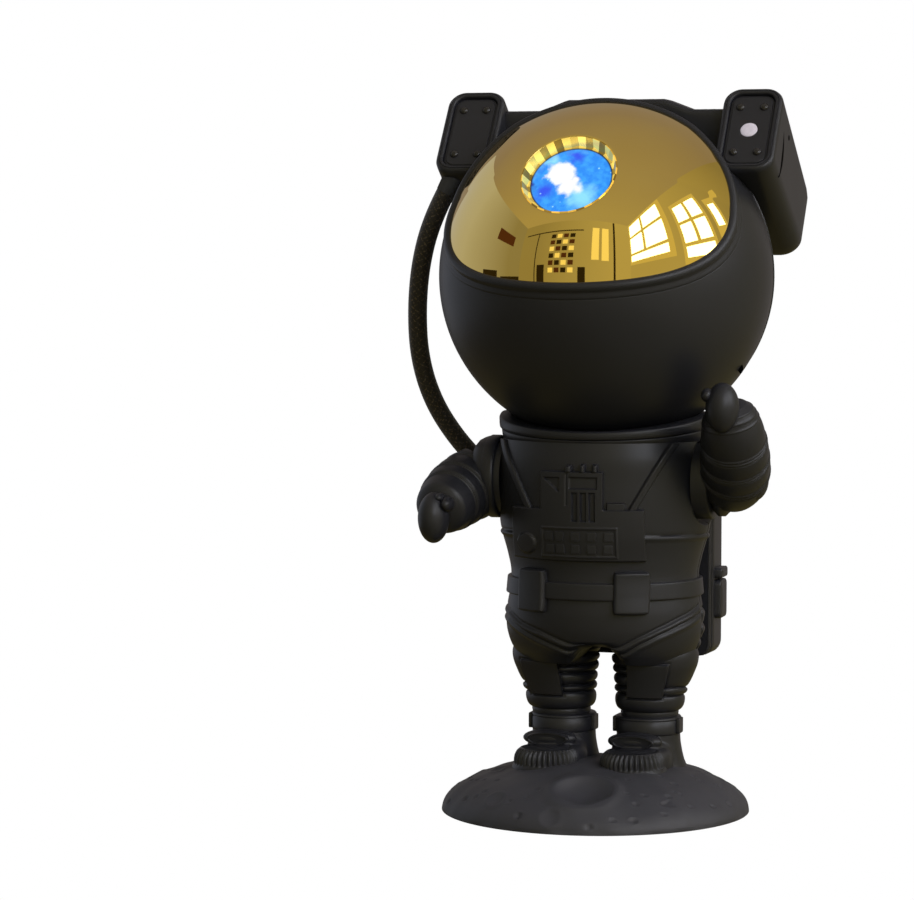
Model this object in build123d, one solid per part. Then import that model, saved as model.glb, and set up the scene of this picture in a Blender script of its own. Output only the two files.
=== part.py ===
from build123d import *
import math
import os

# Star and nebula projector in the form of an astronaut on a moon base, in millimetres.
# Origin: centre of the moon base's underside. +Z is up and the figure faces -Y, so the figure's
# right side is at -X. "right" and "left" in the names are the figure's own.

# ---- figure and head ----
FIGURE_Y = 12.0            # the figure stands behind the middle of its base
HEAD_R = 53.0              # the spherical helmet
HEAD_FOOT_Z = 115.7        # its lowest point
HEAD_Z = HEAD_FOOT_Z + HEAD_R
HELMET_WALL = 2.5
SEAM_Y = 4.5               # helmet seam plane, from the head's centre, at SEAM_Z above it
SEAM_Z = 25.0
SEAM_LEAN = 11.0           # degrees that the seam leans back towards the bottom
LIP_LENGTH = 3.0           # the back shell's lip under the front shell
LIP_WALL = 1.2

# ---- moon base ----
BASE_R = 48.7
BASE_HEIGHT = 15.8
BASE_WALL = 2.5
PAD_THICKNESS = 2.0
PLATE_THICKNESS = 3.0
POST_R = 4.0
BASE_SCREW_R = 1.5
SCREW_PILOT_R = 1.25

# ---- legs and boots ----
LEG_WALL = 2.2
LEG_SECTIONS = [           # height, distance of the leg's centre from the middle, radius
    (12.0, 13.9, 9.4),
    (29.0, 13.9, 9.9),
    (35.5, 14.2, 11.2),
    (42.0, 15.2, 13.2),
    (46.5, 15.6, 14.2),
]
BOSS_R = 3.4
BOOT_TOE_R = (10.4, 10.4)  # half width and half length of the toe
BOOT_TOE_AT = (14.0, -5.0)
BOOT_TOE_SHIFT = 1.0       # both toes point slightly to the figure's right
BOOT_TOE_TOP = 20.0
BOOT_CUFF_R = 11.4
BOOT_CUFF_TOP = 24.4
BOOT_ROUNDING = 3.0
BAND_R = 10.8
BAND_HEIGHT = 5.2

# ---- torso ----
TORSO_WALL = 2.2
TORSO_FLOOR = 2.5
TORSO_SECTIONS = [         # height, half width, half depth
    (46.5, 28.0, 20.0),
    (50.0, 30.4, 23.4),
    (55.0, 32.2, 26.0),
    (62.0, 32.4, 27.2),
    (70.0, 31.0, 26.8),
    (75.0, 30.6, 26.6),
    (80.0, 31.4, 27.0),
    (88.0, 33.4, 28.2),
    (96.0, 34.4, 28.8),
    (105.0, 34.6, 28.9),
    (112.0, 34.3, 28.6),
    (117.0, 33.0, 27.6),
]
BELT_Z = (67.2, 72.6)
BELT_THICKNESS = 1.3
POUCH_Z = (62.6, 76.4)
POUCH_X = ((-23.2, -12.6), (9.9, 20.0))
POUCH_THICKNESS = 3.0
PANEL_THICKNESS = 1.6
PANEL_LOW_Z = 80.0
PANEL_STEP_Z = 96.6
PANEL_TOP_Z = 108.4
PANEL_WIDE_X = (-24.0, 18.4)
PANEL_TALL_X = (-13.6, 6.6)
STRAP_THICKNESS = 1.0
STRAP_WIDTH = 3.0
STRAP_TOP_X = (-28.9, 30.3)
STRAP_TOP_Z = 116.5
STRAP_FOOT_X = (-18.1, 13.9)

# ---- neck ----
COLLAR_R = (34.2, 29.0)
COLLAR_TOP_Z = 125.4
COLLAR_FRONT_Z = 120.6
PLUG_Z = 109.5
SEAT_GAP = 0.3             # between the helmet and its seat
FIT_GAP = 0.2              # between parts that slip into each other
RUN_GAP = 0.05             # running fit, on the radius
MAGNET_R = 9.0
MAGNET_Z = (HEAD_FOOT_Z - 4.2, HEAD_FOOT_Z - 0.5)
KEEPER_R = 12.0
KEEPER_THICKNESS = 2.0

# ---- backpack ----
PACK_HALF_WIDTH = 29.6
PACK_Y = (33.0, 48.5)
PACK_Z = (45.5, 104.5)
PACK_WALL = 2.6
PACK_FLOOR_Y = 41.5
PACK_ROUNDING = 4.0
COVER_THICKNESS = 2.5
COVER_SCREW_R = 1.3
COVER_SCREW_HEAD_R = 2.4
BOARD_HALF_WIDTH = 22.0
BOARD_Z = (62.0, 98.0)
BOARD_GAP = 1.0            # posts under the board
BOARD_THICKNESS = 1.6
SWITCH_SIZE = 6.0
SWITCH_HEIGHT = 1.9
PLUNGER_R = 1.7
PLUNGER_HEIGHT = 0.4
BUTTON_X = 11.0
BUTTON_Z = 88.0
BUTTON_R = 4.3
BUTTON_PROUD = 1.2
BUTTON_STROKE = 0.7
FLANGE_R = 5.4
FLANGE_THICKNESS = 1.0
JACK_X = -14.0
JACK_SIZE = (9.0, 6.4, 12.0)
JACK_BORE_R = 2.85
JACK_PIN_R = 1.0
IR_SIZE = (6.0, 3.0, 7.0)

# ---- arms ----
SHOULDER_Y = 9.0
SHOULDER_Z = 104.4
DISC_R = 12.2
DISC_X = (31.0, 36.3)      # inner and outer face, from the middle
ARM_GAP = 0.5
AXLE_R = 3.0
AXLE_END_X = 30.7
ARM_SCREW_R = 1.1
ARM_SCREW_HEAD = (4.5, 1.6)
ARM_SCREW_LENGTH = 10.0
ROOT_R = 11.0
RIGHT_ARM = [              # centre and radius of each joint of the limb
    ((-42.0, 9.0, 104.2), 11.5),
    ((-46.2, 0.0, 101.0), 11.1),
    ((-47.4, -13.5, 97.6), 9.3),
]
RIGHT_MITT = ((-49.0, -20.0, 95.2), (4.2, 6.4, 7.2))
LEFT_ARM = [
    ((43.6, 6.0, 105.2), 11.4),
    ((45.6, -5.0, 113.6), 10.2),
    ((45.6, -14.5, 121.6), 8.2),
]
LEFT_MITT = ((45.2, -20.6, 127.0), (5.2, 6.2, 7.8))

# ---- visor, lens and projector, along the lens axis from the head's centre ----
VISOR_WALL = 1.6
VISOR_EDGE = [             # side view of the visor's edge from the head's centre: y and z as
    (-0.066, 1.075),       # shares of the helmet's radius, as the edge is drawn on the helmet
    (-0.132, 0.896),
    (-0.236, 0.651),
    (-0.368, 0.396),
    (-0.547, 0.198),
    (-0.755, 0.060),
    (-0.943, -0.019),
    (-1.132, -0.066),
]
RIM_WIDTH = 4.5
RIM_PROUD = 1.8
LENS_LATITUDE = 37.8       # degrees that the lens looks up
LENS_TURN = 2.0            # and towards the figure's right
LENS_R = 13.0
LENS_AXIAL = (HEAD_R - 8.0, HEAD_R - 5.0)
BEZEL_R = 15.0
BEZEL_FRONT = HEAD_R - 1.8
BARREL_BORE_R = 12.0
FRAME_AXIAL = (HEAD_R - 23.0, HEAD_R - 21.0)
FRAME_TOP = 34.0
GEAR_MODULE = 0.6
DISC_TEETH = 60
PINION_TEETH = 12
TOOTH_SHARE = 0.42         # tooth thickness on the pitch circle, as a share of the pitch
DISC_OFFSET = -9.0         # the disc's spindle lies below the lens axis
DISC_AXIAL = (HEAD_R - 27.0, HEAD_R - 25.0)
SPINDLE_R = 1.5
SHAFT_R = 0.75
MOTOR_R = 5.0
MOTOR_LENGTH = 8.5
CARRIER_AXIAL = (HEAD_R - 33.0, HEAD_R - 31.0)
CARRIER_R = 34.0
CARRIER_POST_R = 2.0
CARRIER_POST_AT = 31.0
LED_BOARD_R = 11.0
LED_BOARD_THICKNESS = 1.4
LED_R = 3.0
LED_HEIGHT = 1.6
SINK_SIZE = 26.0
SINK_BASE = 3.0
SINK_FINS = 6
SINK_FIN = (1.4, 9.0)      # thickness and height

# ---- ear pods ----
POD_WAY = (45.8, 3.8, 46.1)   # way from the head's centre to the middle of the pod's face
POD_STANDOFF = 12.1        # the middle of the pod's face from the helmet's surface
POD_LEAN = 38.0            # degrees that the pod's face leans back
POD_SIZE = (20.4, 33.0, 51.0)
POD_TAPER = 8.0            # the pod's underside rises by this towards its back
POD_WALL = 1.8
POD_ROUNDING = 5.5
FACE_SIZE = (15.0, 27.6)
FACE_ROUNDING = 3.4
FACE_THICKNESS = 2.0
FACE_RECESS = 1.0
RIVET_AT = (3.5, 9.0)
RIVET_R = 1.25
RIVET_PROUD = 0.8
STAR_R = 2.5
LASER_R = 4.2
LASER_LENGTH = 18.0
HOLDER_DEPTH = (8.0, 16.0)
HOLDER_HEIGHT = 11.0
BAR_Y = (FIGURE_Y + 12.0, FIGURE_Y + 23.0)
BAR_TOP_Z = HEAD_Z + HEAD_R - 0.1
BAR_MIDDLE_Z = BAR_TOP_Z + 3.4
BAR_MIDDLE_X = (12.4, 23.6)

# ---- air hose ----
HOSE_R = 2.7
GLAND_ROOT_R = 3.5
GLAND_TIP_R = 3.2
POD_GLAND_LENGTH = 6.0
PACK_GLAND_LENGTH = 8.0
HOSE_POINTS = [
    (-53.0, 12.0, 195.4),
    (-57.6, 12.5, 187.2),
    (-62.2, 14.5, 173.5),
    (-64.6, 17.5, 158.0),
    (-65.0, 21.5, 142.0),
    (-62.0, 26.5, 127.5),
    (-55.4, 32.0, 114.8),
    (-47.0, 37.5, 104.5),
    (-34.6, 42.6, 96.8),
]

BIG = 400.0                # larger than the whole object
HEAD = Pos(0, FIGURE_Y, HEAD_Z)


def save(name, shape):
    """Writes one node as a STEP file of its separate solids."""
    solids = shape.solids()
    result = solids[0] if len(solids) == 1 else Compound(children=list(solids))
    result.label = name
    export_step(result, f"parts/{name}.step")


def slab(z_low, z_high):
    """Everything between two heights."""
    return Pos(0, 0, (z_low + z_high) / 2) * Box(BIG, BIG, z_high - z_low)


def box_between(low, high):
    """A box given by its lowest and highest corners."""
    size = [b - a for a, b in zip(low, high)]
    middle = [(a + b) / 2 for a, b in zip(low, high)]
    return Pos(*middle) * Box(*size)


def post_z(x, y, z_low, z_high, radius):
    """An upright cylinder."""
    return Pos(x, y, (z_low + z_high) / 2) * Cylinder(radius, z_high - z_low)


def post_y(x, z, y_low, y_high, radius):
    """A cylinder along Y."""
    return Pos(x, (y_low + y_high) / 2, z) * Rot(90, 0, 0) * Cylinder(radius, y_high - y_low)


def post_x(y, z, x_low, x_high, radius):
    """A cylinder along X."""
    return Pos((x_low + x_high) / 2, y, z) * Rot(0, 90, 0) * Cylinder(radius, x_high - x_low)


def prism_along_x(points, x_low, x_high):
    """A polygon given in Y and Z, extruded along X."""
    face = Plane.YZ.offset(x_low) * Polygon(*points, align=None)
    return extrude(face, x_high - x_low)


def prism_along_y(points, y_low, y_high):
    """A polygon given in X and Z, extruded along Y."""
    face = Plane.XZ.offset(-y_high) * Polygon(*points, align=None)
    return extrude(face, y_high - y_low)


def cone_between(start, end, start_r, end_r):
    """A straight cone or rod between two points."""
    axis = Vector(*end) - Vector(*start)
    where = Plane(origin=start, z_dir=axis)
    if abs(start_r - end_r) < 1e-6:
        rod = Cylinder(start_r, axis.length)
    else:
        rod = Cone(start_r, end_r, axis.length)
    return where.location * Pos(0, 0, axis.length / 2) * rod


def mirrored(shape):
    """The same piece on the figure's other side."""
    return mirror(shape, Plane.YZ)


# ---- moon base and legs ----

def dome(radius, height):
    """A flattened half ball on the floor, with an elliptical side view."""
    angles = [math.radians(18 * step) for step in range(6)]
    side_view = Spline(
        *[(radius * math.cos(a), height * math.sin(a)) for a in angles], tangents=[(0, 1), (-1, 0)])
    foot = Polyline((0, height), (0, 0), (radius, 0))
    return revolve(Plane.XZ * make_face(side_view + foot), Axis.Z)


def base_dome():
    return dome(BASE_R, BASE_HEIGHT)


def leg_centre_at_sole():
    return LEG_SECTIONS[0][1]


def plate_radius():
    """The ballast plate fills the dome's hollow at its own top face."""
    top = PAD_THICKNESS + PLATE_THICKNESS
    inner_height = BASE_HEIGHT - BASE_WALL
    return (BASE_R - BASE_WALL) * math.sqrt(1 - (top / inner_height) ** 2) - FIT_GAP


def post_top():
    """Height of the screw posts, which end inside the dome's wall above the leg's centre."""
    reach = math.hypot(leg_centre_at_sole(), FIGURE_Y)
    inner_height = BASE_HEIGHT - BASE_WALL
    return inner_height * math.sqrt(1 - (reach / (BASE_R - BASE_WALL)) ** 2) + BASE_WALL / 2


def moon_base():
    shell = base_dome() - dome(BASE_R - BASE_WALL, BASE_HEIGHT - BASE_WALL)
    for side in (-1, 1):
        x = side * leg_centre_at_sole()
        shell += post_z(x, FIGURE_Y, PAD_THICKNESS + PLATE_THICKNESS, post_top(), POST_R)
    for side in (-1, 1):
        x = side * leg_centre_at_sole()
        shell -= post_z(x, FIGURE_Y, 0, BASE_HEIGHT, BASE_SCREW_R + FIT_GAP)
    return shell


def screw_head_cone(x, y, z_low, grow):
    """The countersunk head of a base screw, its wide end down."""
    depth = BASE_SCREW_R
    head = Cone(2 * BASE_SCREW_R + grow, BASE_SCREW_R + grow, depth)
    return Pos(x, y, z_low + depth / 2) * head


def ballast_plate():
    plate = post_z(0, 0, PAD_THICKNESS, PAD_THICKNESS + PLATE_THICKNESS, plate_radius())
    for side in (-1, 1):
        x = side * leg_centre_at_sole()
        plate -= post_z(x, FIGURE_Y, 0, BIG / 2, BASE_SCREW_R + FIT_GAP)
        plate -= screw_head_cone(x, FIGURE_Y, PAD_THICKNESS, FIT_GAP)
    return plate


def base_pad():
    return post_z(0, 0, 0, PAD_THICKNESS, plate_radius()) & dome(
        BASE_R - BASE_WALL, BASE_HEIGHT - BASE_WALL)


def base_screws():
    group = []
    for side in (-1, 1):
        x = side * leg_centre_at_sole()
        head = screw_head_cone(x, FIGURE_Y, PAD_THICKNESS, 0)
        shank_foot = PAD_THICKNESS + BASE_SCREW_R / 2
        shank = post_z(x, FIGURE_Y, shank_foot, BASE_HEIGHT - BASE_WALL, BASE_SCREW_R)
        thread = post_z(x, FIGURE_Y, shank_foot, LEG_SECTIONS[1][0], SCREW_PILOT_R)
        group.append(head + shank + thread)
    return Compound(children=group)


def leg_solid(side, inset=0.0):
    rings = [Pos(side * x, FIGURE_Y, z) * Circle(r - inset) for z, x, r in LEG_SECTIONS]
    return loft([ring.face() for ring in rings])


def leg(side):
    x = side * leg_centre_at_sole()
    roof = LEG_SECTIONS[-1][0] - LEG_WALL
    hollow = leg_solid(side, LEG_WALL) & slab(BASE_HEIGHT + LEG_WALL, roof)
    boss = post_z(x, FIGURE_Y, 0, BIG / 2, BOSS_R)
    bore = post_z(x, FIGURE_Y, 0, BIG / 2, SCREW_PILOT_R)
    return leg_solid(side) - (hollow - boss) - bore - base_dome()


def hip_screws():
    floor_top = TORSO_SECTIONS[0][0] + TORSO_FLOOR
    head_height = 1.8
    group = []
    for side in (-1, 1):
        x = side * leg_centre_at_sole()
        head = post_z(x, FIGURE_Y, floor_top, floor_top + head_height, 2 * SCREW_PILOT_R)
        thread = post_z(x, FIGURE_Y, LEG_SECTIONS[2][0], floor_top, SCREW_PILOT_R)
        group.append(head + thread)
    return Compound(children=group)


def boot(side):
    toe_x, toe_y = side * BOOT_TOE_AT[0] - BOOT_TOE_SHIFT, BOOT_TOE_AT[1]
    toe = Pos(toe_x, toe_y, BOOT_TOE_TOP / 2) * extrude(
        Ellipse(*BOOT_TOE_R), BOOT_TOE_TOP / 2, both=True)
    toe = fillet(toe.edges().group_by(Axis.Z)[-1], BOOT_ROUNDING)
    x = side * leg_centre_at_sole()
    cuff = post_z(x, FIGURE_Y, 0, BOOT_CUFF_TOP, BOOT_CUFF_R)
    cuff = fillet(cuff.edges().group_by(Axis.Z)[-1], BOOT_ROUNDING / 2)
    reach = BOOT_TOE_R[0] - 1
    middle = box_between(
        (toe_x - reach, toe_y, 0), (toe_x + reach, FIGURE_Y, BOOT_TOE_TOP))
    return toe + middle + cuff - leg_solid(side) - base_dome()


def ankle_bands():
    group = []
    for side in (-1, 1):
        x = side * leg_centre_at_sole()
        band = post_z(x, FIGURE_Y, BOOT_CUFF_TOP, BOOT_CUFF_TOP + BAND_HEIGHT, BAND_R)
        group.append(band - leg_solid(side))
    return Compound(children=group)


# ---- torso ----

def torso_solid(grow=0.0):
    rings = [Pos(0, FIGURE_Y, z) * Ellipse(rx + grow, ry + grow) for z, rx, ry in TORSO_SECTIONS]
    return loft([ring.face() for ring in rings])


def front_half():
    return Pos(0, FIGURE_Y - BIG / 2, 0) * Box(BIG, BIG, BIG * 2)


def back_half():
    return Pos(0, FIGURE_Y + BIG / 2, 0) * Box(BIG, BIG, BIG * 2)


def shoulder_cylinder(side, x_inner, x_outer, radius):
    low, high = sorted((side * x_inner, side * x_outer))
    return post_x(SHOULDER_Y, SHOULDER_Z, low, high, radius)


def torso_shell():
    foot = TORSO_SECTIONS[0][0]
    hollow = torso_solid(-TORSO_WALL) & slab(foot + TORSO_FLOOR, BIG / 2)
    shell = torso_solid() - hollow
    for side in (-1, 1):
        x = side * leg_centre_at_sole()
        shell -= shoulder_cylinder(side, DISC_X[0], BIG / 2, DISC_R)
        shell -= post_z(x, FIGURE_Y, 0, foot + 2 * TORSO_FLOOR, SCREW_PILOT_R + FIT_GAP)
    return shell


def belt():
    return (torso_solid(BELT_THICKNESS) - torso_solid()) & slab(*BELT_Z)


def belt_pouches():
    group = []
    layer = torso_solid(POUCH_THICKNESS) - torso_solid() - belt()
    for x_low, x_high in POUCH_X:
        width, height = x_high - x_low, POUCH_Z[1] - POUCH_Z[0]
        block = Pos((x_low + x_high) / 2, 0, sum(POUCH_Z) / 2) * Rot(90, 0, 0) * extrude(
            RectangleRounded(width, height, 1.6), BIG / 4)
        group.append(layer & block)
    return Compound(children=[s for piece in group for s in piece.solids()])


def panel_outline():
    wide_low, wide_high = PANEL_WIDE_X
    tall_low, tall_high = PANEL_TALL_X
    return [
        (wide_low, PANEL_LOW_Z), (wide_high, PANEL_LOW_Z), (wide_high, PANEL_STEP_Z),
        (tall_high, PANEL_STEP_Z), (tall_high, PANEL_TOP_Z), (tall_low, PANEL_TOP_Z),
        (tall_low, PANEL_STEP_Z), (wide_low, PANEL_STEP_Z),
    ]


def chest_panel():
    layer = torso_solid(PANEL_THICKNESS) - torso_solid()
    return layer & prism_along_y(panel_outline(), -BIG / 4, FIGURE_Y)


def harness_straps():
    """From the collar down to the chest panel's step."""
    layer = torso_solid(STRAP_THICKNESS) - torso_solid()
    half = STRAP_WIDTH / 2
    both = []
    for top_x, foot_x in zip(STRAP_TOP_X, STRAP_FOOT_X):
        outline = [
            (foot_x - half, PANEL_STEP_Z), (foot_x + half, PANEL_STEP_Z),
            (top_x + half, STRAP_TOP_Z), (top_x - half, STRAP_TOP_Z),
        ]
        strap = layer & prism_along_y(outline, -BIG / 4, FIGURE_Y)
        both += strap.solids()
    return Compound(children=both)


def shoulder_disc(side):
    disc = shoulder_cylinder(side, *DISC_X, DISC_R)
    return disc - shoulder_cylinder(side, 0, BIG / 2, AXLE_R + RUN_GAP)


# ---- neck ----

def neck_dish():
    top = TORSO_SECTIONS[-1][0]
    collar = Pos(0, FIGURE_Y, top) * extrude(Ellipse(*COLLAR_R), COLLAR_TOP_Z - top)
    plug_r = [r - TORSO_WALL - FIT_GAP for r in TORSO_SECTIONS[-1][1:]]
    plug = Pos(0, FIGURE_Y, PLUG_Z) * extrude(Ellipse(*plug_r), top - PLUG_Z)
    front_y = FIGURE_Y - COLLAR_R[1]
    slope = (COLLAR_TOP_Z - COLLAR_FRONT_Z) / COLLAR_R[1]
    low_y = front_y - 2.0
    low_z = COLLAR_FRONT_Z - (front_y - low_y) * slope
    neckline = prism_along_x(
        [(low_y, low_z), (FIGURE_Y, COLLAR_TOP_Z), (FIGURE_Y, BIG / 2), (low_y, BIG / 2)],
        -BIG / 4, BIG / 4)
    dish = collar + plug - neckline - HEAD * Sphere(HEAD_R + SEAT_GAP)
    return dish - post_z(0, FIGURE_Y, MAGNET_Z[0], BIG / 2, MAGNET_R + RUN_GAP)


def neck_magnet():
    return post_z(0, FIGURE_Y, *MAGNET_Z, MAGNET_R)


# ---- backpack ----

def pack_block(y_low, y_high):
    height = PACK_Z[1] - PACK_Z[0]
    face = RectangleRounded(2 * PACK_HALF_WIDTH, height, PACK_ROUNDING)
    return Pos(0, y_high, sum(PACK_Z) / 2) * Rot(90, 0, 0) * extrude(face, y_high - y_low)


def cover_screw_places():
    inset = PACK_ROUNDING
    xs = (-PACK_HALF_WIDTH + inset, PACK_HALF_WIDTH - inset)
    zs = (PACK_Z[0] + inset, PACK_Z[1] - inset)
    return [(x, z) for x in xs for z in zs]


def board_screw_places():
    inset = 3.0
    xs = (-BOARD_HALF_WIDTH + inset, BOARD_HALF_WIDTH - inset)
    zs = (BOARD_Z[0] + inset, BOARD_Z[1] - inset)
    return [(x, z) for x in xs for z in zs]


def backpack_housing():
    block = pack_block(*PACK_Y)
    cavity = box_between(
        (-PACK_HALF_WIDTH + PACK_WALL, PACK_FLOOR_Y, PACK_Z[0] + PACK_WALL),
        (PACK_HALF_WIDTH - PACK_WALL, PACK_Y[1], PACK_Z[1] - PACK_WALL))
    housing = block - cavity
    for x, z in cover_screw_places():
        housing += post_y(x, z, PACK_FLOOR_Y, PACK_Y[1], POST_R) & block
    for x, z in board_screw_places():
        housing += post_y(x, z, PACK_FLOOR_Y, PACK_FLOOR_Y + BOARD_GAP, BOSS_R)
    for x, z in cover_screw_places():
        housing -= post_y(x, z, PACK_FLOOR_Y, PACK_Y[1], COVER_SCREW_R)
    jack_y = PACK_FLOOR_Y + FIT_GAP + JACK_SIZE[1] / 2
    housing -= post_z(JACK_X, jack_y, 0, PACK_Z[0] + PACK_WALL, JACK_BORE_R + 2 * FIT_GAP)
    return housing - torso_solid() - belt() - pack_gland()


def backpack_cover():
    cover = pack_block(PACK_Y[1], PACK_Y[1] + COVER_THICKNESS)
    for x, z in cover_screw_places():
        cover -= post_y(x, z, 0, BIG / 4, COVER_SCREW_R + FIT_GAP)
        head_y = PACK_Y[1] + COVER_THICKNESS / 2
        cover -= post_y(x, z, head_y, BIG / 4, COVER_SCREW_HEAD_R + FIT_GAP)
    for side in (-1, 1):
        cover -= post_y(side * BUTTON_X, BUTTON_Z, 0, BIG / 4, BUTTON_R + RUN_GAP)
    return cover


def cover_screws():
    head_y = PACK_Y[1] + COVER_THICKNESS / 2
    group = []
    for x, z in cover_screw_places():
        head = post_y(x, z, head_y, PACK_Y[1] + COVER_THICKNESS - FIT_GAP, COVER_SCREW_HEAD_R)
        thread = post_y(x, z, PACK_FLOOR_Y + 0.5, head_y, COVER_SCREW_R)
        group.append(head + thread)
    return Compound(children=group)


def board_y():
    low = PACK_FLOOR_Y + BOARD_GAP
    return low, low + BOARD_THICKNESS


def control_board():
    low, high = board_y()
    return box_between((-BOARD_HALF_WIDTH, low, BOARD_Z[0]), (BOARD_HALF_WIDTH, high, BOARD_Z[1]))


def tact_switches():
    foot = board_y()[1]
    half = SWITCH_SIZE / 2
    top = foot + SWITCH_HEIGHT
    group = []
    for side in (-1, 1):
        x = side * BUTTON_X
        body = box_between((x - half, foot, BUTTON_Z - half), (x + half, top, BUTTON_Z + half))
        group.append(body + post_y(x, BUTTON_Z, foot, top + PLUNGER_HEIGHT, PLUNGER_R))
    return Compound(children=group)


def button(side):
    x = side * BUTTON_X
    inner = PACK_Y[1] - FIT_GAP
    flange = post_y(x, BUTTON_Z, inner - FLANGE_THICKNESS, inner, FLANGE_R)
    cap_top = PACK_Y[1] + COVER_THICKNESS + BUTTON_PROUD
    cap = post_y(x, BUTTON_Z, inner - FLANGE_THICKNESS, cap_top, BUTTON_R)
    return flange + cap


def ir_receiver():
    width, depth, height = IR_SIZE
    foot = board_y()[1]
    top_z = BOARD_Z[1] - 1.0
    return box_between((-width / 2, foot, top_z - height), (width / 2, foot + depth, top_z))


def dc_jack():
    width, depth, height = JACK_SIZE
    low_y = PACK_FLOOR_Y + FIT_GAP
    low_z = PACK_Z[0] + PACK_WALL
    body = box_between(
        (JACK_X - width / 2, low_y, low_z), (JACK_X + width / 2, low_y + depth, low_z + height))
    jack_y = low_y + depth / 2
    wall = 1.5
    body -= post_z(JACK_X, jack_y, low_z, low_z + height - wall, JACK_BORE_R)
    return body + post_z(JACK_X, jack_y, low_z + wall, low_z + height, JACK_PIN_R)


# ---- air hose and its glands ----

def gland(tip, next_point, length):
    """A sleeve in line with the hose's end run; its tip meets the hose's end face."""
    outwards = (Vector(*next_point) - Vector(*tip)).normalized()
    root = Vector(*tip) - outwards * length
    return cone_between(tuple(root), tip, GLAND_ROOT_R, GLAND_TIP_R)


def pod_gland():
    return gland(HOSE_POINTS[0], HOSE_POINTS[1], POD_GLAND_LENGTH)


def pack_gland():
    return gland(HOSE_POINTS[-1], HOSE_POINTS[-2], PACK_GLAND_LENGTH)


def corner_radii(points):
    """The largest arcs that the straight runs leave room for."""
    radii = []
    for before, corner, after in zip(points, points[1:], points[2:]):
        first = Vector(*corner) - Vector(*before)
        second = Vector(*after) - Vector(*corner)
        turn = math.radians(first.get_angle(second))
        radii.append(0.45 * min(first.length, second.length) / math.tan(turn / 2))
    return radii


def air_hose():
    radii = corner_radii(HOSE_POINTS)
    path = FilletPolyline(*HOSE_POINTS, radius=radii)
    start = Plane(origin=path @ 0, z_dir=path % 0)
    tube = sweep(start * Circle(HOSE_R), path=path)
    expected = math.pi * HOSE_R ** 2 * path.length
    print("hose length", round(path.length, 1), "radii", [round(r) for r in radii])
    print("hose volume share", round(tube.volume / expected, 4))
    return tube


# ---- arms ----

def limb(joints):
    """Balls joined by cones."""
    shape = None
    for centre, radius in joints:
        ball = Pos(*centre) * Sphere(radius)
        shape = ball if shape is None else shape + ball
    for (start, start_r), (end, end_r) in zip(joints, joints[1:]):
        shape += cone_between(start, end, start_r, end_r)
    return shape


def mitt(centre, half_sizes):
    """A rounded glove, squeezed from a ball."""
    return Pos(*centre) * scale(Sphere(1), by=half_sizes)


def arm(side, joints, mitt_size):
    inner_x = DISC_X[1] + ARM_GAP
    shape = limb(joints) + mitt(*mitt_size)
    shape += shoulder_cylinder(side, inner_x, abs(joints[0][0][0]), ROOT_R)
    shape -= shoulder_cylinder(side, 0, inner_x, BIG / 8)
    shape += shoulder_cylinder(side, AXLE_END_X, inner_x + 1, AXLE_R)
    return shape - shoulder_cylinder(side, AXLE_END_X, AXLE_END_X + ARM_SCREW_LENGTH, ARM_SCREW_R)


def arm_screw(side):
    head_r, head_height = ARM_SCREW_HEAD
    head = shoulder_cylinder(side, AXLE_END_X - head_height, AXLE_END_X, head_r)
    thread_from = AXLE_END_X - head_height / 2
    return head + shoulder_cylinder(side, thread_from, AXLE_END_X + ARM_SCREW_LENGTH, ARM_SCREW_R)


# ---- helmet and visor ----

def visor_edge(outwards):
    """The visor's edge in the side view, moved away from the visor by a distance."""
    moved = []
    last = len(VISOR_EDGE) - 1
    points = [(y * HEAD_R, z * HEAD_R) for y, z in VISOR_EDGE]
    for index, (y, z) in enumerate(points):
        before = points[max(index - 1, 0)]
        after = points[min(index + 1, last)]
        along = (after[0] - before[0], after[1] - before[1])
        length = math.hypot(*along)
        moved.append((y - outwards * along[1] / length, z + outwards * along[0] / length))
    return moved


def visor_region(outwards):
    """Everything in front of the visor's edge, across the whole width."""
    edge = visor_edge(outwards)
    curve = Spline(*edge)
    far = 2 * HEAD_R
    around = Polyline(edge[-1], (-far, edge[-1][1]), (-far, far), (edge[0][0], far), edge[0])
    face = Plane.YZ * make_face(curve + around)
    return HEAD * extrude(face, far, both=True)


def head_shell(outer, inner):
    return HEAD * (Sphere(outer) - Sphere(inner))


def seam_side(front, shift=0.0):
    """The half of space in front of the helmet's seam, or behind it."""
    turn = -1 if front else 1
    block = Pos(0, turn * BIG / 2 + shift, 0) * Box(BIG, BIG, BIG)
    return HEAD * Pos(0, SEAM_Y, SEAM_Z) * Rot(SEAM_LEAN, 0, 0) * block


def helmet_inner_r():
    return HEAD_R - HELMET_WALL


def helmet_front_shell():
    shell = head_shell(HEAD_R, helmet_inner_r()) & seam_side(True)
    return shell - visor_region(RIM_WIDTH)


def helmet_back_shell():
    shell = head_shell(HEAD_R, helmet_inner_r()) & seam_side(False)
    lip = head_shell(helmet_inner_r(), helmet_inner_r() - LIP_WALL)
    lip = lip & seam_side(False, -LIP_LENGTH) & seam_side(True, LIP_LENGTH)
    return shell + lip - visor_region(RIM_WIDTH)


def visor_rim():
    ring = head_shell(HEAD_R + RIM_PROUD, helmet_inner_r()) & visor_region(RIM_WIDTH)
    return ring - visor_region(0)


def lens_place():
    """Local frame on the lens axis: +Z out through the lens, +Y up the visor."""
    tilt, turn = math.radians(LENS_LATITUDE), math.radians(LENS_TURN)
    across = (math.cos(turn), -math.sin(turn), 0)
    level = math.cos(tilt)
    outwards = (-level * math.sin(turn), -level * math.cos(turn), math.sin(tilt))
    return Plane(origin=(0, FIGURE_Y, HEAD_Z), x_dir=across, z_dir=outwards).location


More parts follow.
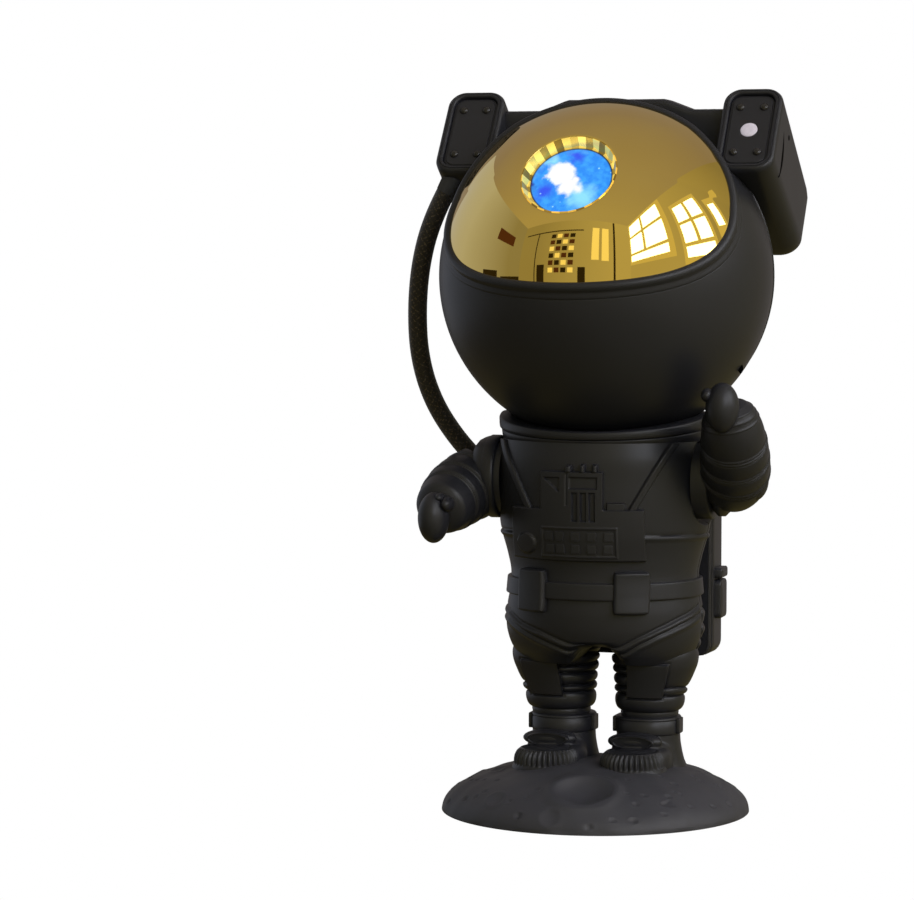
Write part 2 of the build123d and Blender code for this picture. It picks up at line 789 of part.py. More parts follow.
def on_lens_axis(radius, low, high, x=0.0, y=0.0):
    return lens_place() * post_z(x, y, low, high, radius)


def visor():
    shell = head_shell(HEAD_R, HEAD_R - VISOR_WALL) & visor_region(0)
    return shell - on_lens_axis(BEZEL_R, 0, BIG / 4)


def keeper_plate():
    inner = helmet_inner_r()
    layer = head_shell(inner, inner - KEEPER_THICKNESS)
    return layer & post_z(0, FIGURE_Y, 0, HEAD_Z, KEEPER_R)


# ---- projector inside the helmet ----

def lens_bezel():
    ring = on_lens_axis(BEZEL_R, LENS_AXIAL[0], BEZEL_FRONT)
    return ring - on_lens_axis(LENS_R, LENS_AXIAL[0], BEZEL_FRONT)


def nebula_lens():
    return on_lens_axis(LENS_R, *LENS_AXIAL)


def lens_barrel():
    tube = on_lens_axis(BEZEL_R, FRAME_AXIAL[1], LENS_AXIAL[0])
    return tube - on_lens_axis(BARREL_BORE_R, FRAME_AXIAL[1], LENS_AXIAL[0])


def pitch_radius(teeth):
    return GEAR_MODULE * teeth / 2


def pinion_x():
    return pitch_radius(DISC_TEETH) + pitch_radius(PINION_TEETH)


def gear(teeth, thickness, first_angle):
    """A spur gear with straight-flanked teeth; a tooth points along first_angle."""
    pitch_r = pitch_radius(teeth)
    root_r = pitch_r - 1.25 * GEAR_MODULE
    tip_r = pitch_r + 0.9 * GEAR_MODULE
    half = math.pi / teeth * TOOTH_SHARE
    points = []
    for index in range(teeth):
        middle = math.radians(first_angle) + 2 * math.pi * index / teeth
        for radius, share in ((root_r, -1.5), (tip_r, -0.55), (tip_r, 0.55), (root_r, 1.5)):
            angle = middle + share * half
            points.append((radius * math.cos(angle), radius * math.sin(angle)))
    return extrude(Polygon(*points, align=None), thickness)


def projector_frame():
    plate = lens_place() * post_z(0, 0, *FRAME_AXIAL, HEAD_R) & HEAD * Sphere(helmet_inner_r())
    plate -= lens_place() * box_between((-BIG, FRAME_TOP, 0), (BIG, BIG, BIG))
    plate -= on_lens_axis(BARREL_BORE_R, 0, BIG / 4)
    plate -= on_lens_axis(SHAFT_R + RUN_GAP, 0, BIG / 4, pinion_x(), DISC_OFFSET)
    spindle = on_lens_axis(SPINDLE_R, DISC_AXIAL[0] - 1, FRAME_AXIAL[1], 0, DISC_OFFSET)
    shoulder = on_lens_axis(2 * SPINDLE_R, DISC_AXIAL[1] + ARM_GAP, FRAME_AXIAL[1], 0, DISC_OFFSET)
    foot = box_between((-4, DISC_OFFSET - 4, FRAME_AXIAL[0]), (4, DISC_OFFSET + 4, FRAME_AXIAL[1]))
    return plate + lens_place() * foot + spindle + shoulder


def nebula_disc():
    thickness = DISC_AXIAL[1] - DISC_AXIAL[0]
    wheel = lens_place() * Pos(0, DISC_OFFSET, DISC_AXIAL[0]) * gear(DISC_TEETH, thickness, 0)
    return wheel - on_lens_axis(SPINDLE_R + RUN_GAP, 0, BIG / 4, 0, DISC_OFFSET)


def motor_pinion():
    thickness = DISC_AXIAL[1] - DISC_AXIAL[0]
    half_pitch = 180 / PINION_TEETH
    wheel = gear(PINION_TEETH, thickness, half_pitch)
    wheel = lens_place() * Pos(pinion_x(), DISC_OFFSET, DISC_AXIAL[0]) * wheel
    return wheel + on_lens_axis(SHAFT_R, DISC_AXIAL[0], FRAME_AXIAL[1] + 4, pinion_x(), DISC_OFFSET)


def disc_motor():
    low = FRAME_AXIAL[1]
    body = on_lens_axis(MOTOR_R, low, low + MOTOR_LENGTH, pinion_x(), DISC_OFFSET)
    return body - on_lens_axis(SHAFT_R + RUN_GAP, low, low + 5, pinion_x(), DISC_OFFSET)


def led_carrier():
    plate = on_lens_axis(CARRIER_R, *CARRIER_AXIAL)
    for angle in (90, 210, 330):
        x = CARRIER_POST_AT * math.cos(math.radians(angle))
        y = CARRIER_POST_AT * math.sin(math.radians(angle))
        plate += on_lens_axis(CARRIER_POST_R, CARRIER_AXIAL[1], FRAME_AXIAL[0], x, y)
    return plate


def led_board():
    low = CARRIER_AXIAL[1]
    high = low + LED_BOARD_THICKNESS
    board = on_lens_axis(LED_BOARD_R, low, high)
    return board + on_lens_axis(LED_R, high, high + LED_HEIGHT)


def heat_sink():
    half = SINK_SIZE / 2
    top = CARRIER_AXIAL[0]
    fin, fin_height = SINK_FIN
    sink = box_between((-half, -half, top - SINK_BASE), (half, half, top))
    root = top - SINK_BASE
    for index in range(SINK_FINS):
        x = -half + (SINK_SIZE - fin) * index / (SINK_FINS - 1)
        sink += box_between((x, -half, root - fin_height), (x + fin, half, root))
    return lens_place() * sink


# ---- ear pods ----

def pod_face_middle():
    way = Vector(*POD_WAY).normalized() * (HEAD_R + POD_STANDOFF)
    return Vector(0, FIGURE_Y, HEAD_Z) + way


def pod_place():
    """Local frame of the figure's left pod: +Z out of its face, +Y up the face."""
    lean = math.radians(POD_LEAN)
    outwards = (0, -math.cos(lean), math.sin(lean))
    return Plane(origin=pod_face_middle(), x_dir=(1, 0, 0), z_dir=outwards).location


def pod_core(inset):
    """The pod's tapered rounded block, made smaller all round by an inset."""
    width, height, length = (size - 2 * inset for size in POD_SIZE)
    outline = RectangleRounded(width, height, POD_ROUNDING - inset)
    block = Pos(0, 0, -inset) * extrude(outline, -length)
    under = -height / 2
    wedge = prism_along_x(
        [(under, 0), (under + POD_TAPER, -POD_SIZE[2]), (under - 1, -POD_SIZE[2]), (under - 1, 0)],
        -POD_SIZE[0], POD_SIZE[0])
    return block - wedge


def pod_housing():
    core = pod_core(0) - pod_core(POD_WALL)
    face = RectangleRounded(FACE_SIZE[0] + 2 * FIT_GAP, FACE_SIZE[1] + 2 * FIT_GAP, FACE_ROUNDING)
    core -= extrude(face, -(FACE_RECESS + FACE_THICKNESS))
    return pod_place() * core - HEAD * Sphere(HEAD_R)


def pod_face():
    outline = RectangleRounded(*FACE_SIZE, FACE_ROUNDING)
    plate = Pos(0, 0, -FACE_RECESS) * extrude(outline, -FACE_THICKNESS)
    for x in (-RIVET_AT[0], RIVET_AT[0]):
        for y in (-RIVET_AT[1], RIVET_AT[1]):
            plate -= post_z(x, y, -BIG / 4, BIG / 4, RIVET_R / 2)
    return plate


def pod_face_left():
    plate = pod_face() - post_z(0, 0, -BIG / 4, BIG / 4, STAR_R)
    return pod_place() * plate - HEAD * Sphere(HEAD_R)


def pod_face_right():
    return mirrored(pod_place() * pod_face() - HEAD * Sphere(HEAD_R))


def pod_rivets():
    group = []
    for x in (-RIVET_AT[0], RIVET_AT[0]):
        for y in (-RIVET_AT[1], RIVET_AT[1]):
            head = post_z(x, y, -FACE_RECESS, RIVET_PROUD - FACE_RECESS, RIVET_R)
            head = fillet(head.edges().group_by(Axis.Z)[-1], 0.6)
            shank = post_z(x, y, -FACE_RECESS - FACE_THICKNESS, -FACE_RECESS, RIVET_R / 2)
            rivet = pod_place() * (head + shank)
            group += [rivet, mirrored(rivet)]
    return Compound(children=[s for rivet in group for s in rivet.solids()])


def star_window():
    return pod_place() * post_z(0, 0, -FACE_RECESS - FACE_THICKNESS, -FACE_RECESS - 0.4, STAR_R)


def laser_module():
    low = -(FACE_RECESS + FACE_THICKNESS + LASER_LENGTH)
    return pod_place() * post_z(0, 0, low, -(FACE_RECESS + FACE_THICKNESS), LASER_R)


def laser_holder():
    width = POD_SIZE[0] - 2 * POD_WALL
    near, far = HOLDER_DEPTH
    half_height = HOLDER_HEIGHT / 2
    block = box_between((-width / 2, -half_height, -far), (width / 2, half_height, -near))
    block -= post_z(0, 0, -BIG / 4, BIG / 4, LASER_R)
    return pod_place() * block - HEAD * Sphere(HEAD_R)


def pod_right():
    return mirrored(pod_housing()) - pod_gland()


def crossbar():
    inner_x, outer_x = BAR_MIDDLE_X
    end_x = pod_face_middle().X - POD_SIZE[0] / 2
    foot_z = HEAD_Z + HEAD_R / 2
    outline = [
        (-end_x, foot_z), (end_x, foot_z), (end_x, BAR_TOP_Z), (outer_x, BAR_TOP_Z),
        (inner_x, BAR_MIDDLE_Z), (-inner_x, BAR_MIDDLE_Z), (-outer_x, BAR_TOP_Z), (-end_x, BAR_TOP_Z),
    ]
    return prism_along_y(outline, *BAR_Y) - HEAD * Sphere(HEAD_R)


def main():
    os.makedirs("parts", exist_ok=True)
    torso = torso_shell()
    nodes = {
        "moon_base": moon_base(),
        "ballast_plate": ballast_plate(),
        "base_pad": base_pad(),
        "base_screws": base_screws(),
        "leg_right": leg(-1),
        "leg_left": leg(1),
        "boot_right": boot(-1),
        "boot_left": boot(1),
        "ankle_bands": ankle_bands(),
        "hip_screws": hip_screws(),
        "torso_front_shell": torso & front_half(),
        "torso_back_shell": torso & back_half(),
        "belt": belt(),
        "belt_pouches": belt_pouches(),
        "harness_straps": harness_straps(),
        "chest_panel": chest_panel(),
        "shoulder_disc_right": shoulder_disc(-1),
        "shoulder_disc_left": shoulder_disc(1),
        "neck_dish": neck_dish(),
        "backpack_housing": backpack_housing(),
        "backpack_cover": backpack_cover(),
        "cover_screws": cover_screws(),
        "control_board": control_board(),
        "tact_switches": tact_switches(),
        "ir_receiver": ir_receiver(),
        "dc_jack": dc_jack(),
        "pack_gland": pack_gland(),
        "air_hose": air_hose(),
        "neck_magnet": neck_magnet(),
        "arm_right": arm(-1, RIGHT_ARM, RIGHT_MITT),
        "arm_right_screw": arm_screw(-1),
        "arm_left": arm(1, LEFT_ARM, LEFT_MITT),
        "arm_left_screw": arm_screw(1),
        "nebula_button": button(-1),
        "star_button": button(1),
        "helmet_front_shell": helmet_front_shell(),
        "helmet_back_shell": helmet_back_shell(),
        "keeper_plate": keeper_plate(),
        "visor": visor(),
        "visor_rim": visor_rim(),
        "lens_bezel": lens_bezel(),
        "nebula_lens": nebula_lens(),
        "lens_barrel": lens_barrel(),
        "projector_frame": projector_frame(),
        "nebula_disc": nebula_disc(),
        "motor_pinion": motor_pinion(),
        "disc_motor": disc_motor(),
        "led_carrier": led_carrier(),
        "led_board": led_board(),
        "heat_sink": heat_sink(),
        "pod_right": pod_right(),
        "pod_left": pod_housing(),
        "pod_face_right": pod_face_right(),
        "pod_face_left": pod_face_left(),
        "pod_rivets": pod_rivets(),
        "star_window": star_window(),
        "laser_module": laser_module(),
        "laser_holder": laser_holder(),
        "pod_gland": pod_gland(),
        "crossbar": crossbar(),
    }
    for name, shape in nodes.items():
        save(name, shape)
    print(len(nodes), "nodes")


main()
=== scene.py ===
import math

import bmesh
import bpy
import numpy as np
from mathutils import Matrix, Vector


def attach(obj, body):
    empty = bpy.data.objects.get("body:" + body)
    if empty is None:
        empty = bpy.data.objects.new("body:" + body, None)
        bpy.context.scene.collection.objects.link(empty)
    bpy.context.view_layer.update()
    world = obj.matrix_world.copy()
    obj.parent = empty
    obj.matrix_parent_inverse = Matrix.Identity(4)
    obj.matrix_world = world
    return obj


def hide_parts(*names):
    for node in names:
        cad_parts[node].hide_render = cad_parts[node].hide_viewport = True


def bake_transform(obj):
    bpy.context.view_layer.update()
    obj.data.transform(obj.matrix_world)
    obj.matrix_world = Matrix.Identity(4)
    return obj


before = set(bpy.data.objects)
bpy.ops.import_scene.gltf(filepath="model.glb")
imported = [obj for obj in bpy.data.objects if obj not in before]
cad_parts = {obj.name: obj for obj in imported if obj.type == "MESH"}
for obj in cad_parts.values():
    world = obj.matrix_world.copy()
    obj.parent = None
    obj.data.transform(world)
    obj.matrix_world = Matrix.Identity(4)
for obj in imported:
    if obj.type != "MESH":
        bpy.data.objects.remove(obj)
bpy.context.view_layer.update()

# Star and nebula projector in the form of an astronaut standing on a moon base, moulded in black
# ABS, with a gold mirror visor. Sizes in the sections are millimetres; meshes are made in metres.


# ---- camera ----
# A 128 mm lens about a metre away, at the height of the figure's face and a little to its left. It
# looks slightly down, so that the top of the moon base shows.
camera_data = bpy.data.cameras.new("camera")
camera_data.lens = 128.48
camera_data.sensor_width = 36.0
camera = bpy.data.objects.new("camera", camera_data)
camera.location = (0.2500, -0.9965, 0.1808)
camera.rotation_euler = Vector((-0.28393, 0.95664, -0.06498)).to_track_quat("-Z", "Y").to_euler()
bpy.context.scene.collection.objects.link(camera)
bpy.context.scene.camera = camera
bpy.context.scene.view_settings.view_transform = "Standard"


# ---- air hose ----
# A soft tube in a braided polyester sleeve, from the right ear pod down to the backpack. It is made in two lengths,
# which meet at a height of 150 mm.
def add(tree, kind, inputs=None, **settings):
    """Adds a node with its settings; an input takes a value or another node's output."""
    node = tree.nodes.new(kind)
    for name, value in settings.items():
        setattr(node, name, value)
    for name, value in (inputs or {}).items():
        if isinstance(value, bpy.types.NodeSocket):
            tree.links.new(value, node.inputs[name])
        else:
            node.inputs[name].default_value = value
    return node


def colour(code):
    """An sRGB hex colour in linear light."""
    parts = [int(code[i:i + 2], 16) / 255 for i in (1, 3, 5)]
    return [p / 12.92 if p <= 0.04045 else ((p + 0.055) / 1.055) ** 2.4 for p in parts] + [1.0]


def finish_called(name):
    """An empty material with its output node."""
    material = bpy.data.materials.new(name)
    material.use_nodes = True
    material.node_tree.nodes.clear()
    return material, material.node_tree, add(material.node_tree, "ShaderNodeOutputMaterial")


def braided_polyester():
    """Matt black threads, a few of them gold-brown, with 0.4 mm specks where the yarn catches the light."""
    material, tree, output = finish_called("braided_polyester")
    thread = add(tree, "ShaderNodeAttribute", attribute_name="thread")
    place = add(tree, "ShaderNodeTexCoord")
    speck = add(tree, "ShaderNodeTexNoise", {"Vector": place.outputs["Object"], "Scale": 2300.0, "Detail": 1.0})
    bright = add(tree, "ShaderNodeMath", {0: speck.outputs["Fac"], 1: thread.outputs["Fac"]}, operation="MULTIPLY")
    ramp = add(tree, "ShaderNodeValToRGB", {"Fac": bright.outputs[0]})
    ramp.color_ramp.elements[0].color = colour("#15110d")
    ramp.color_ramp.elements[0].position = 0.43
    ramp.color_ramp.elements[1].color = colour("#584a36")
    ramp.color_ramp.elements[1].position = 0.72
    shader = add(tree, "ShaderNodeBsdfPrincipled", {"Base Color": ramp.outputs["Color"], "Roughness": 0.62})
    shader.inputs["Sheen Weight"].default_value = 0.25
    fine = add(tree, "ShaderNodeBump", {"Height": speck.outputs["Fac"], "Distance": 0.00004, "Strength": 0.6})
    tree.links.new(fine.outputs["Normal"], shader.inputs["Normal"])
    tree.links.new(shader.outputs["BSDF"], output.inputs["Surface"])
    return material


def grid_faces(rows, columns, closed):
    """Quads between the rows of a grid of points; closed joins each row's ends."""
    row = np.arange(rows - 1)[:, None]
    column = np.arange(columns if closed else columns - 1)[None, :]
    a = row * columns + column
    b = row * columns + (column + 1) % columns
    return np.stack([a, b, b + columns, a + columns], -1).reshape(-1, 4)


def mesh_piece(name, parts, material, crease):
    """One object from (points in mm, faces) parts, with merged doubles and faces outwards."""
    points, faces, start = [], [], 0
    for part_points, part_faces in parts:
        flat = np.asarray(part_points, float).reshape(-1, 3)
        points.append(flat)
        faces += (np.asarray(part_faces) + start).tolist()
        start += len(flat)
    mesh = bpy.data.meshes.new(name)
    mesh.from_pydata((np.concatenate(points) * 0.001).tolist(), [], faces)
    shape = bmesh.new()
    shape.from_mesh(mesh)
    bmesh.ops.remove_doubles(shape, verts=shape.verts, dist=2e-6)
    loose = [edge for edge in shape.edges if not edge.link_faces]
    bmesh.ops.delete(shape, geom=loose, context="EDGES")
    bmesh.ops.recalc_face_normals(shape, faces=shape.faces)
    shape.to_mesh(mesh)
    shape.free()
    mesh.shade_smooth()
    mesh.set_sharp_from_angle(angle=math.radians(crease))
    mesh.materials.append(material)
    piece = bpy.data.objects.new(name, mesh)
    bpy.context.scene.collection.objects.link(piece)
    return piece


HOSE_ROUTE = [
    (-0.0530, 0.0120, 0.1954), (-0.0576, 0.0125, 0.1872), (-0.0622, 0.0145, 0.1735),
    (-0.0646, 0.0175, 0.1580), (-0.0650, 0.0215, 0.1420), (-0.0620, 0.0265, 0.1275),
    (-0.0554, 0.0320, 0.1148), (-0.0470, 0.0375, 0.1045), (-0.0346, 0.0426, 0.0968),
]
HOSE_R = 3.1
HOSE_MIDDLE_Z = 0.150
route = bpy.data.curves.new("hose_route", "CURVE")
route.dimensions = "3D"
spline = route.splines.new("NURBS")
spline.points.add(len(HOSE_ROUTE) - 1)
for control, spot in zip(spline.points, HOSE_ROUTE):
    control.co = (*spot, 1.0)
spline.order_u = 3
spline.use_endpoint_u = True
spline.resolution_u = 48
route_object = bpy.data.objects.new("hose_route", route)
line_mesh = bpy.data.meshes.new_from_object(route_object)
hose_line = np.array([vertex.co for vertex in line_mesh.vertices])
bpy.data.objects.remove(route_object)
bpy.data.meshes.remove(line_mesh)


def braided_tube(line):
    """A tube along a line, with the relief of two families of threads over and under each other."""
    step = np.linalg.norm(np.diff(line, axis=0), axis=1) * 1000
    run = np.concatenate([[0], np.cumsum(step)])
    along = np.arange(0, run[-1], 0.24)
    along = np.append(along, run[-1])
    centre = np.stack([np.interp(along, run, line[:, k] * 1000) for k in range(3)], -1)
    ahead = np.gradient(centre, axis=0)
    ahead /= np.linalg.norm(ahead, axis=1)[:, None]
    side = np.cross(ahead, np.array([0.0, 1.0, 0.0]))
    side /= np.linalg.norm(side, axis=1)[:, None]
    other = np.cross(ahead, side)
    turn = np.linspace(0, 2 * np.pi, 96, endpoint=False)[None, :]
    carriers, lead = 24, 15.0
    first = carriers * (turn / (2 * np.pi) + along[:, None] / lead)
    second = carriers * (turn / (2 * np.pi) - along[:, None] / lead)
    over = np.sign(np.sin(np.pi * first) * np.sin(np.pi * second))
    ridge_a = np.abs(np.sin(np.pi * first)) ** 0.6 * (0.75 + 0.25 * over)
    ridge_b = np.abs(np.sin(np.pi * second)) ** 0.6 * (0.75 - 0.25 * over)
    radius = HOSE_R - 0.14 + 0.14 * np.maximum(ridge_a, ridge_b)
    points = centre[:, None, :] + radius[..., None] * (
        np.cos(turn)[..., None] * side[:, None, :] + np.sin(turn)[..., None] * other[:, None, :])
    thread = np.where(ridge_a > ridge_b, np.floor(first) % 3 == 0, np.floor(second) % 4 == 0)
    thread = 0.62 + 0.5 * thread
    return points, thread


hose_material = braided_polyester()
half = int(np.argmin(np.abs(hose_line[:, 2] - HOSE_MIDDLE_Z)))
middle = hose_line[half]
for part_name, part_line, moving, blend_ends in (
        ("air_hose_upper", hose_line[:half + 1], ("neck", "head"), (middle + (0, 0, 0.004), HOSE_ROUTE[0])),
        ("air_hose_lower", hose_line[half:], ("body", "neck"), (HOSE_ROUTE[-1], middle - (0, 0, 0.004)))):
    points, thread = braided_tube(part_line)
    rows, columns = points.shape[:2]
    caps = [np.arange(columns)[None, :], np.arange(columns)[None, ::-1] + (rows - 1) * columns]
    faces = grid_faces(rows, columns, True).tolist() + caps[0].tolist() + caps[1].tolist()
    mesh = bpy.data.meshes.new(part_name)
    mesh.from_pydata((points.reshape(-1, 3) * 0.001).tolist(), [], faces)
    shape = bmesh.new()
    shape.from_mesh(mesh)
    bmesh.ops.recalc_face_normals(shape, faces=shape.faces)
    shape.to_mesh(mesh)
    shape.free()
    mesh.shade_smooth()
    mesh.attributes.new("thread", "FLOAT", "POINT").data.foreach_set("value", thread.ravel())
    mesh.materials.append(hose_material)
    hose = bpy.data.objects.new(part_name, mesh)
    bpy.context.scene.collection.objects.link(hose)
    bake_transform(hose)
    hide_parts("air_hose")


# ---- floor, room and lights ----
# A plain white floor, and the room that the figure stands in: it lights the figure and shows in the
# mirror visor. Two tall windows are on the figure's left; the camera looks through the walls.
def glow(name, code, strength=1.0, far_code=None, axis=1, start=0.0, end=1.0):
    """A surface that only gives light, changing to a second colour along an axis, in metres."""
    material, tree, output = finish_called(name)
    lamp = add(tree, "ShaderNodeEmission", {"Color": colour(code), "Strength": strength})
    if far_code:
        place = add(tree, "ShaderNodeTexCoord")
        along = add(tree, "ShaderNodeSeparateXYZ", {"Vector": place.outputs["Object"]})
        share = add(tree, "ShaderNodeMapRange", {"Value": along.outputs[axis], "From Min": start, "From Max": end})
        tone = add(tree, "ShaderNodeMix", {6: colour(code), 7: colour(far_code), "Factor": share.outputs["Result"]},
                   data_type="RGBA")
        tree.links.new(tone.outputs[2], lamp.inputs["Color"])
    tree.links.new(lamp.outputs["Emission"], output.inputs["Surface"])
    return material


def stage_quad(name, corners, material):
    """A flat four-cornered part of the room, in metres, that the camera looks through."""
    mesh = bpy.data.meshes.new(name)
    mesh.from_pydata(corners, [], [(0, 1, 2, 3)])
    mesh.materials.append(material)
    quad = bpy.data.objects.new(name, mesh)
    bpy.context.scene.collection.objects.link(quad)
    quad.visible_camera = False
    return quad


floor = stage_quad("floor", [(-9, -9, 0), (9, -9, 0), (9, 9, 0), (-9, 9, 0)], glow("white_floor", "#ffffff"))
floor.visible_camera = True
floor.visible_diffuse = floor.visible_glossy = floor.visible_shadow = floor.visible_transmission = False

# the room's planes, in metres from the middle of the figure's base
CEILING_Z, FLOOR_Z = 1.92, -0.58
RIGHT_X, LEFT_X, FRONT_Y, BACK_Y = 1.34, -2.4, -2.25, 2.6
side_wall = glow("side_wall", "#8f8a74", 1.0, "#b4b8c4", 1, -1.6, 0.6)
window_wall = glow("window_wall", "#b2a87c", 1.0, "#8c8464", 1, -0.6, 1.6)
front_wall = glow("front_wall", "#958d6a", 1.0, "#b8ae80", 0, -1.6, 0.9)
back_wall = glow("back_wall", "#8e8682")
ceiling = glow("ceiling_paint", "#aba17e", 1.0, "#8f8684", 1, -1.8, 1.6)
boards = glow("wood_floor", "#857a48", 1.0, "#5a5038", 0, 0.9, -1.6)
dark, brown = glow("dark_furniture", "#2c2414"), glow("brown_frame", "#50301e")
reveal = glow("window_reveal", "#cfc182")
daylight = glow("window_daylight", "#eef2ff", 5.0)
lamps = glow("lit_door", "#f0e2a0", 1.2)
for name, start, end, paint in (
        ("wall_right", (RIGHT_X, FRONT_Y), (RIGHT_X, BACK_Y), window_wall),
        ("wall_left", (LEFT_X, FRONT_Y), (LEFT_X, BACK_Y), side_wall),
        ("wall_front", (LEFT_X, FRONT_Y), (RIGHT_X, FRONT_Y), front_wall),
        ("wall_back", (LEFT_X, BACK_Y), (RIGHT_X, BACK_Y), back_wall)):
    stage_quad(name, [(*start, FLOOR_Z), (*end, FLOOR_Z), (*end, CEILING_Z), (*start, CEILING_Z)], paint)
for name, level, paint in (("ceiling", CEILING_Z, ceiling), ("room_floor", FLOOR_Z, boards)):
    stage_quad(name, [(LEFT_X, FRONT_Y, level), (RIGHT_X, FRONT_Y, level),
                      (RIGHT_X, BACK_Y, level), (LEFT_X, BACK_Y, level)], paint)


def wall_patch(name, wall, low, high, paint, stand_off):
    """A rectangle just in front of a wall; low and high are its corners along the wall and up."""
    if wall in ("right", "left"):
        x = RIGHT_X - stand_off if wall == "right" else LEFT_X + stand_off
        corners = [(x, low[0], low[1]), (x, high[0], low[1]), (x, high[0], high[1]), (x, low[0], high[1])]
    else:
        y = FRONT_Y + stand_off
        corners = [(low[0], y, low[1]), (high[0], y, low[1]), (high[0], y, high[1]), (low[0], y, high[1])]
    stage_quad(name, corners, paint)


for number, (low, high) in enumerate((
        ((-2.24, 0.50), (-0.66, 1.90)), ((-0.50, 0.34), (0.24, 1.48)), ((0.34, 0.62), (0.66, 1.26)))):
    wall_patch(f"window_reveal_{number}", "right", low, high, reveal, 0.005)
for number, (y0, y1, z0, z1) in enumerate((
        (-2.16, -1.56, 1.40, 1.80), (-1.46, -0.80, 1.40, 1.80), (-2.16, -1.56, 0.84, 1.32), (-1.46, -0.80, 0.84, 1.32),
        (-2.16, -0.80, 0.60, 0.77), (-0.43, -0.17, 1.04, 1.38), (-0.10, 0.17, 1.04, 1.38), (-0.43, -0.17, 0.66, 0.98),
        (-0.10, 0.17, 0.66, 0.98), (-0.43, 0.17, 0.44, 0.60), (0.40, 0.58, 0.78, 1.14))):
    wall_patch(f"window_pane_{number}", "right", (y0, z0), (y1, z1), daylight, 0.01)
for number, (wall, low, high, paint) in enumerate((
        ("left", (-1.72, 1.04), (-0.86, 1.34), brown), ("left", (-1.1, -0.1), (-0.5, 0.30), dark),
        ("left", (-2.2, -0.2), (-1.25, 0.16), dark), ("front", (-1.5, -0.2), (-1.22, 0.5), dark),
        ("front", (-0.2, -0.25), (0.0, 0.42), dark), ("front", (-2.2, 1.50), (-0.1, 1.54), dark),
        ("front", (-1.62, -0.5), (-1.58, 1.54), dark), ("front", (0.16, 0.62), (0.36, 1.62), lamps),
        ("front", (0.44, 0.60), (0.64, 1.62), lamps), ("front", (0.78, -0.5), (0.84, 1.9), dark))):
    wall_patch(f"room_patch_{number}", wall, low, high, paint, 0.01)
for column in range(4):
    for row in range(6):
        low = (-1.08 + 0.2 * column, 0.28 + 0.2 * row)
        content = (lamps, dark, brown)[(column * 2 + row * 5) % 3]
        wall_patch(f"shelf_{column}_{row}", "front", low, (low[0] + 0.15, low[1] + 0.13), content, 0.012)

for name, place, aim, size, power, code in (
        ("key_box", (1.1, -0.5, 0.8), (0.0, 0.0, 0.13), 0.6, 14.0, "#fff2ea"),
        ("front_box", (0.45, -1.5, 0.5), (0.0, 0.0, 0.12), 0.7, 4.5, "#bccdff"),
        ("top_box", (0.1, 0.2, 1.5), (0.0, 0.0, 0.1), 1.0, 3.5, "#c4d2ff")):
    lamp_data = bpy.data.lights.new(name, "AREA")
    lamp_data.energy = power
    lamp_data.size = size
    lamp_data.color = colour(code)[:3]
    lamp = bpy.data.objects.new(name, lamp_data)
    lamp.location = place
    lamp.rotation_euler = (Vector(aim) - Vector(place)).to_track_quat("-Z", "Y").to_euler()
    lamp.visible_glossy = False
    bpy.context.scene.collection.objects.link(lamp)

world = bpy.data.worlds.new("white_surroundings")
world.use_nodes = True
world.node_tree.nodes["Background"].inputs["Color"].default_value = (1.0, 1.0, 1.0, 1.0)
world.node_tree.nodes["Background"].inputs["Strength"].default_value = 1.0
bpy.context.scene.world = world


# ---- moon base ----
# A hollow dome in black ABS with moulded craters, a large one in front and small pits around it.
# Its surface is left rough from the mould, so it looks greyer and drier than the figure.
def moulded_abs(name, code, roughness, grain_mm, grain_depth, shine_level=0.36):
    """Black ABS from an eroded mould: a fine even grain, and a soft shine that varies over 26 mm or so."""
    material, tree, output = finish_called(name)
    place = add(tree, "ShaderNodeTexCoord")
    grain = add(tree, "ShaderNodeTexNoise", {
        "Vector": place.outputs["Object"], "Scale": 1000.0 / grain_mm, "Detail": 2.0, "Roughness": 0.6})
    cloud = add(tree, "ShaderNodeTexNoise", {"Vector": place.outputs["Object"], "Scale": 38.0, "Detail": 3.0})
    tint = add(tree, "ShaderNodeMix", {6: colour(code), 7: [c * 1.35 for c in colour(code)[:3]] + [1.0],
                                       "Factor": cloud.outputs["Fac"]}, data_type="RGBA")
    shine = add(tree, "ShaderNodeMapRange", {"Value": cloud.outputs["Fac"], "To Min": roughness - 0.04,
                                             "To Max": roughness + 0.05})
    relief = add(tree, "ShaderNodeBump", {"Height": grain.outputs["Fac"], "Distance": grain_depth, "Strength": 0.5})
    shader = add(tree, "ShaderNodeBsdfPrincipled", {
        "Base Color": tint.outputs[2], "Roughness": shine.outputs["Result"], "Normal": relief.outputs["Normal"]})
    shader.inputs["IOR"].default_value = 1.54
    shader.inputs["Specular IOR Level"].default_value = shine_level
    tree.links.new(shader.outputs["BSDF"], output.inputs["Surface"])
    return material


def line_between(value, table):
    """A smooth curve through a table of heights and sizes, read at many heights."""
    xs, ys = np.array(table)[:, 0], np.array(table)[:, 1]
    slope = np.gradient(ys, xs)
    i = np.clip(np.searchsorted(xs, value) - 1, 0, len(xs) - 2)
    span = xs[i + 1] - xs[i]
    t = np.clip((value - xs[i]) / span, 0, 1)
    return ((2 * t**3 - 3 * t**2 + 1) * ys[i] + (t**3 - 2 * t**2 + t) * span * slope[i]
            + (3 * t**2 - 2 * t**3) * ys[i + 1] + (t**3 - t**2) * span * slope[i + 1])


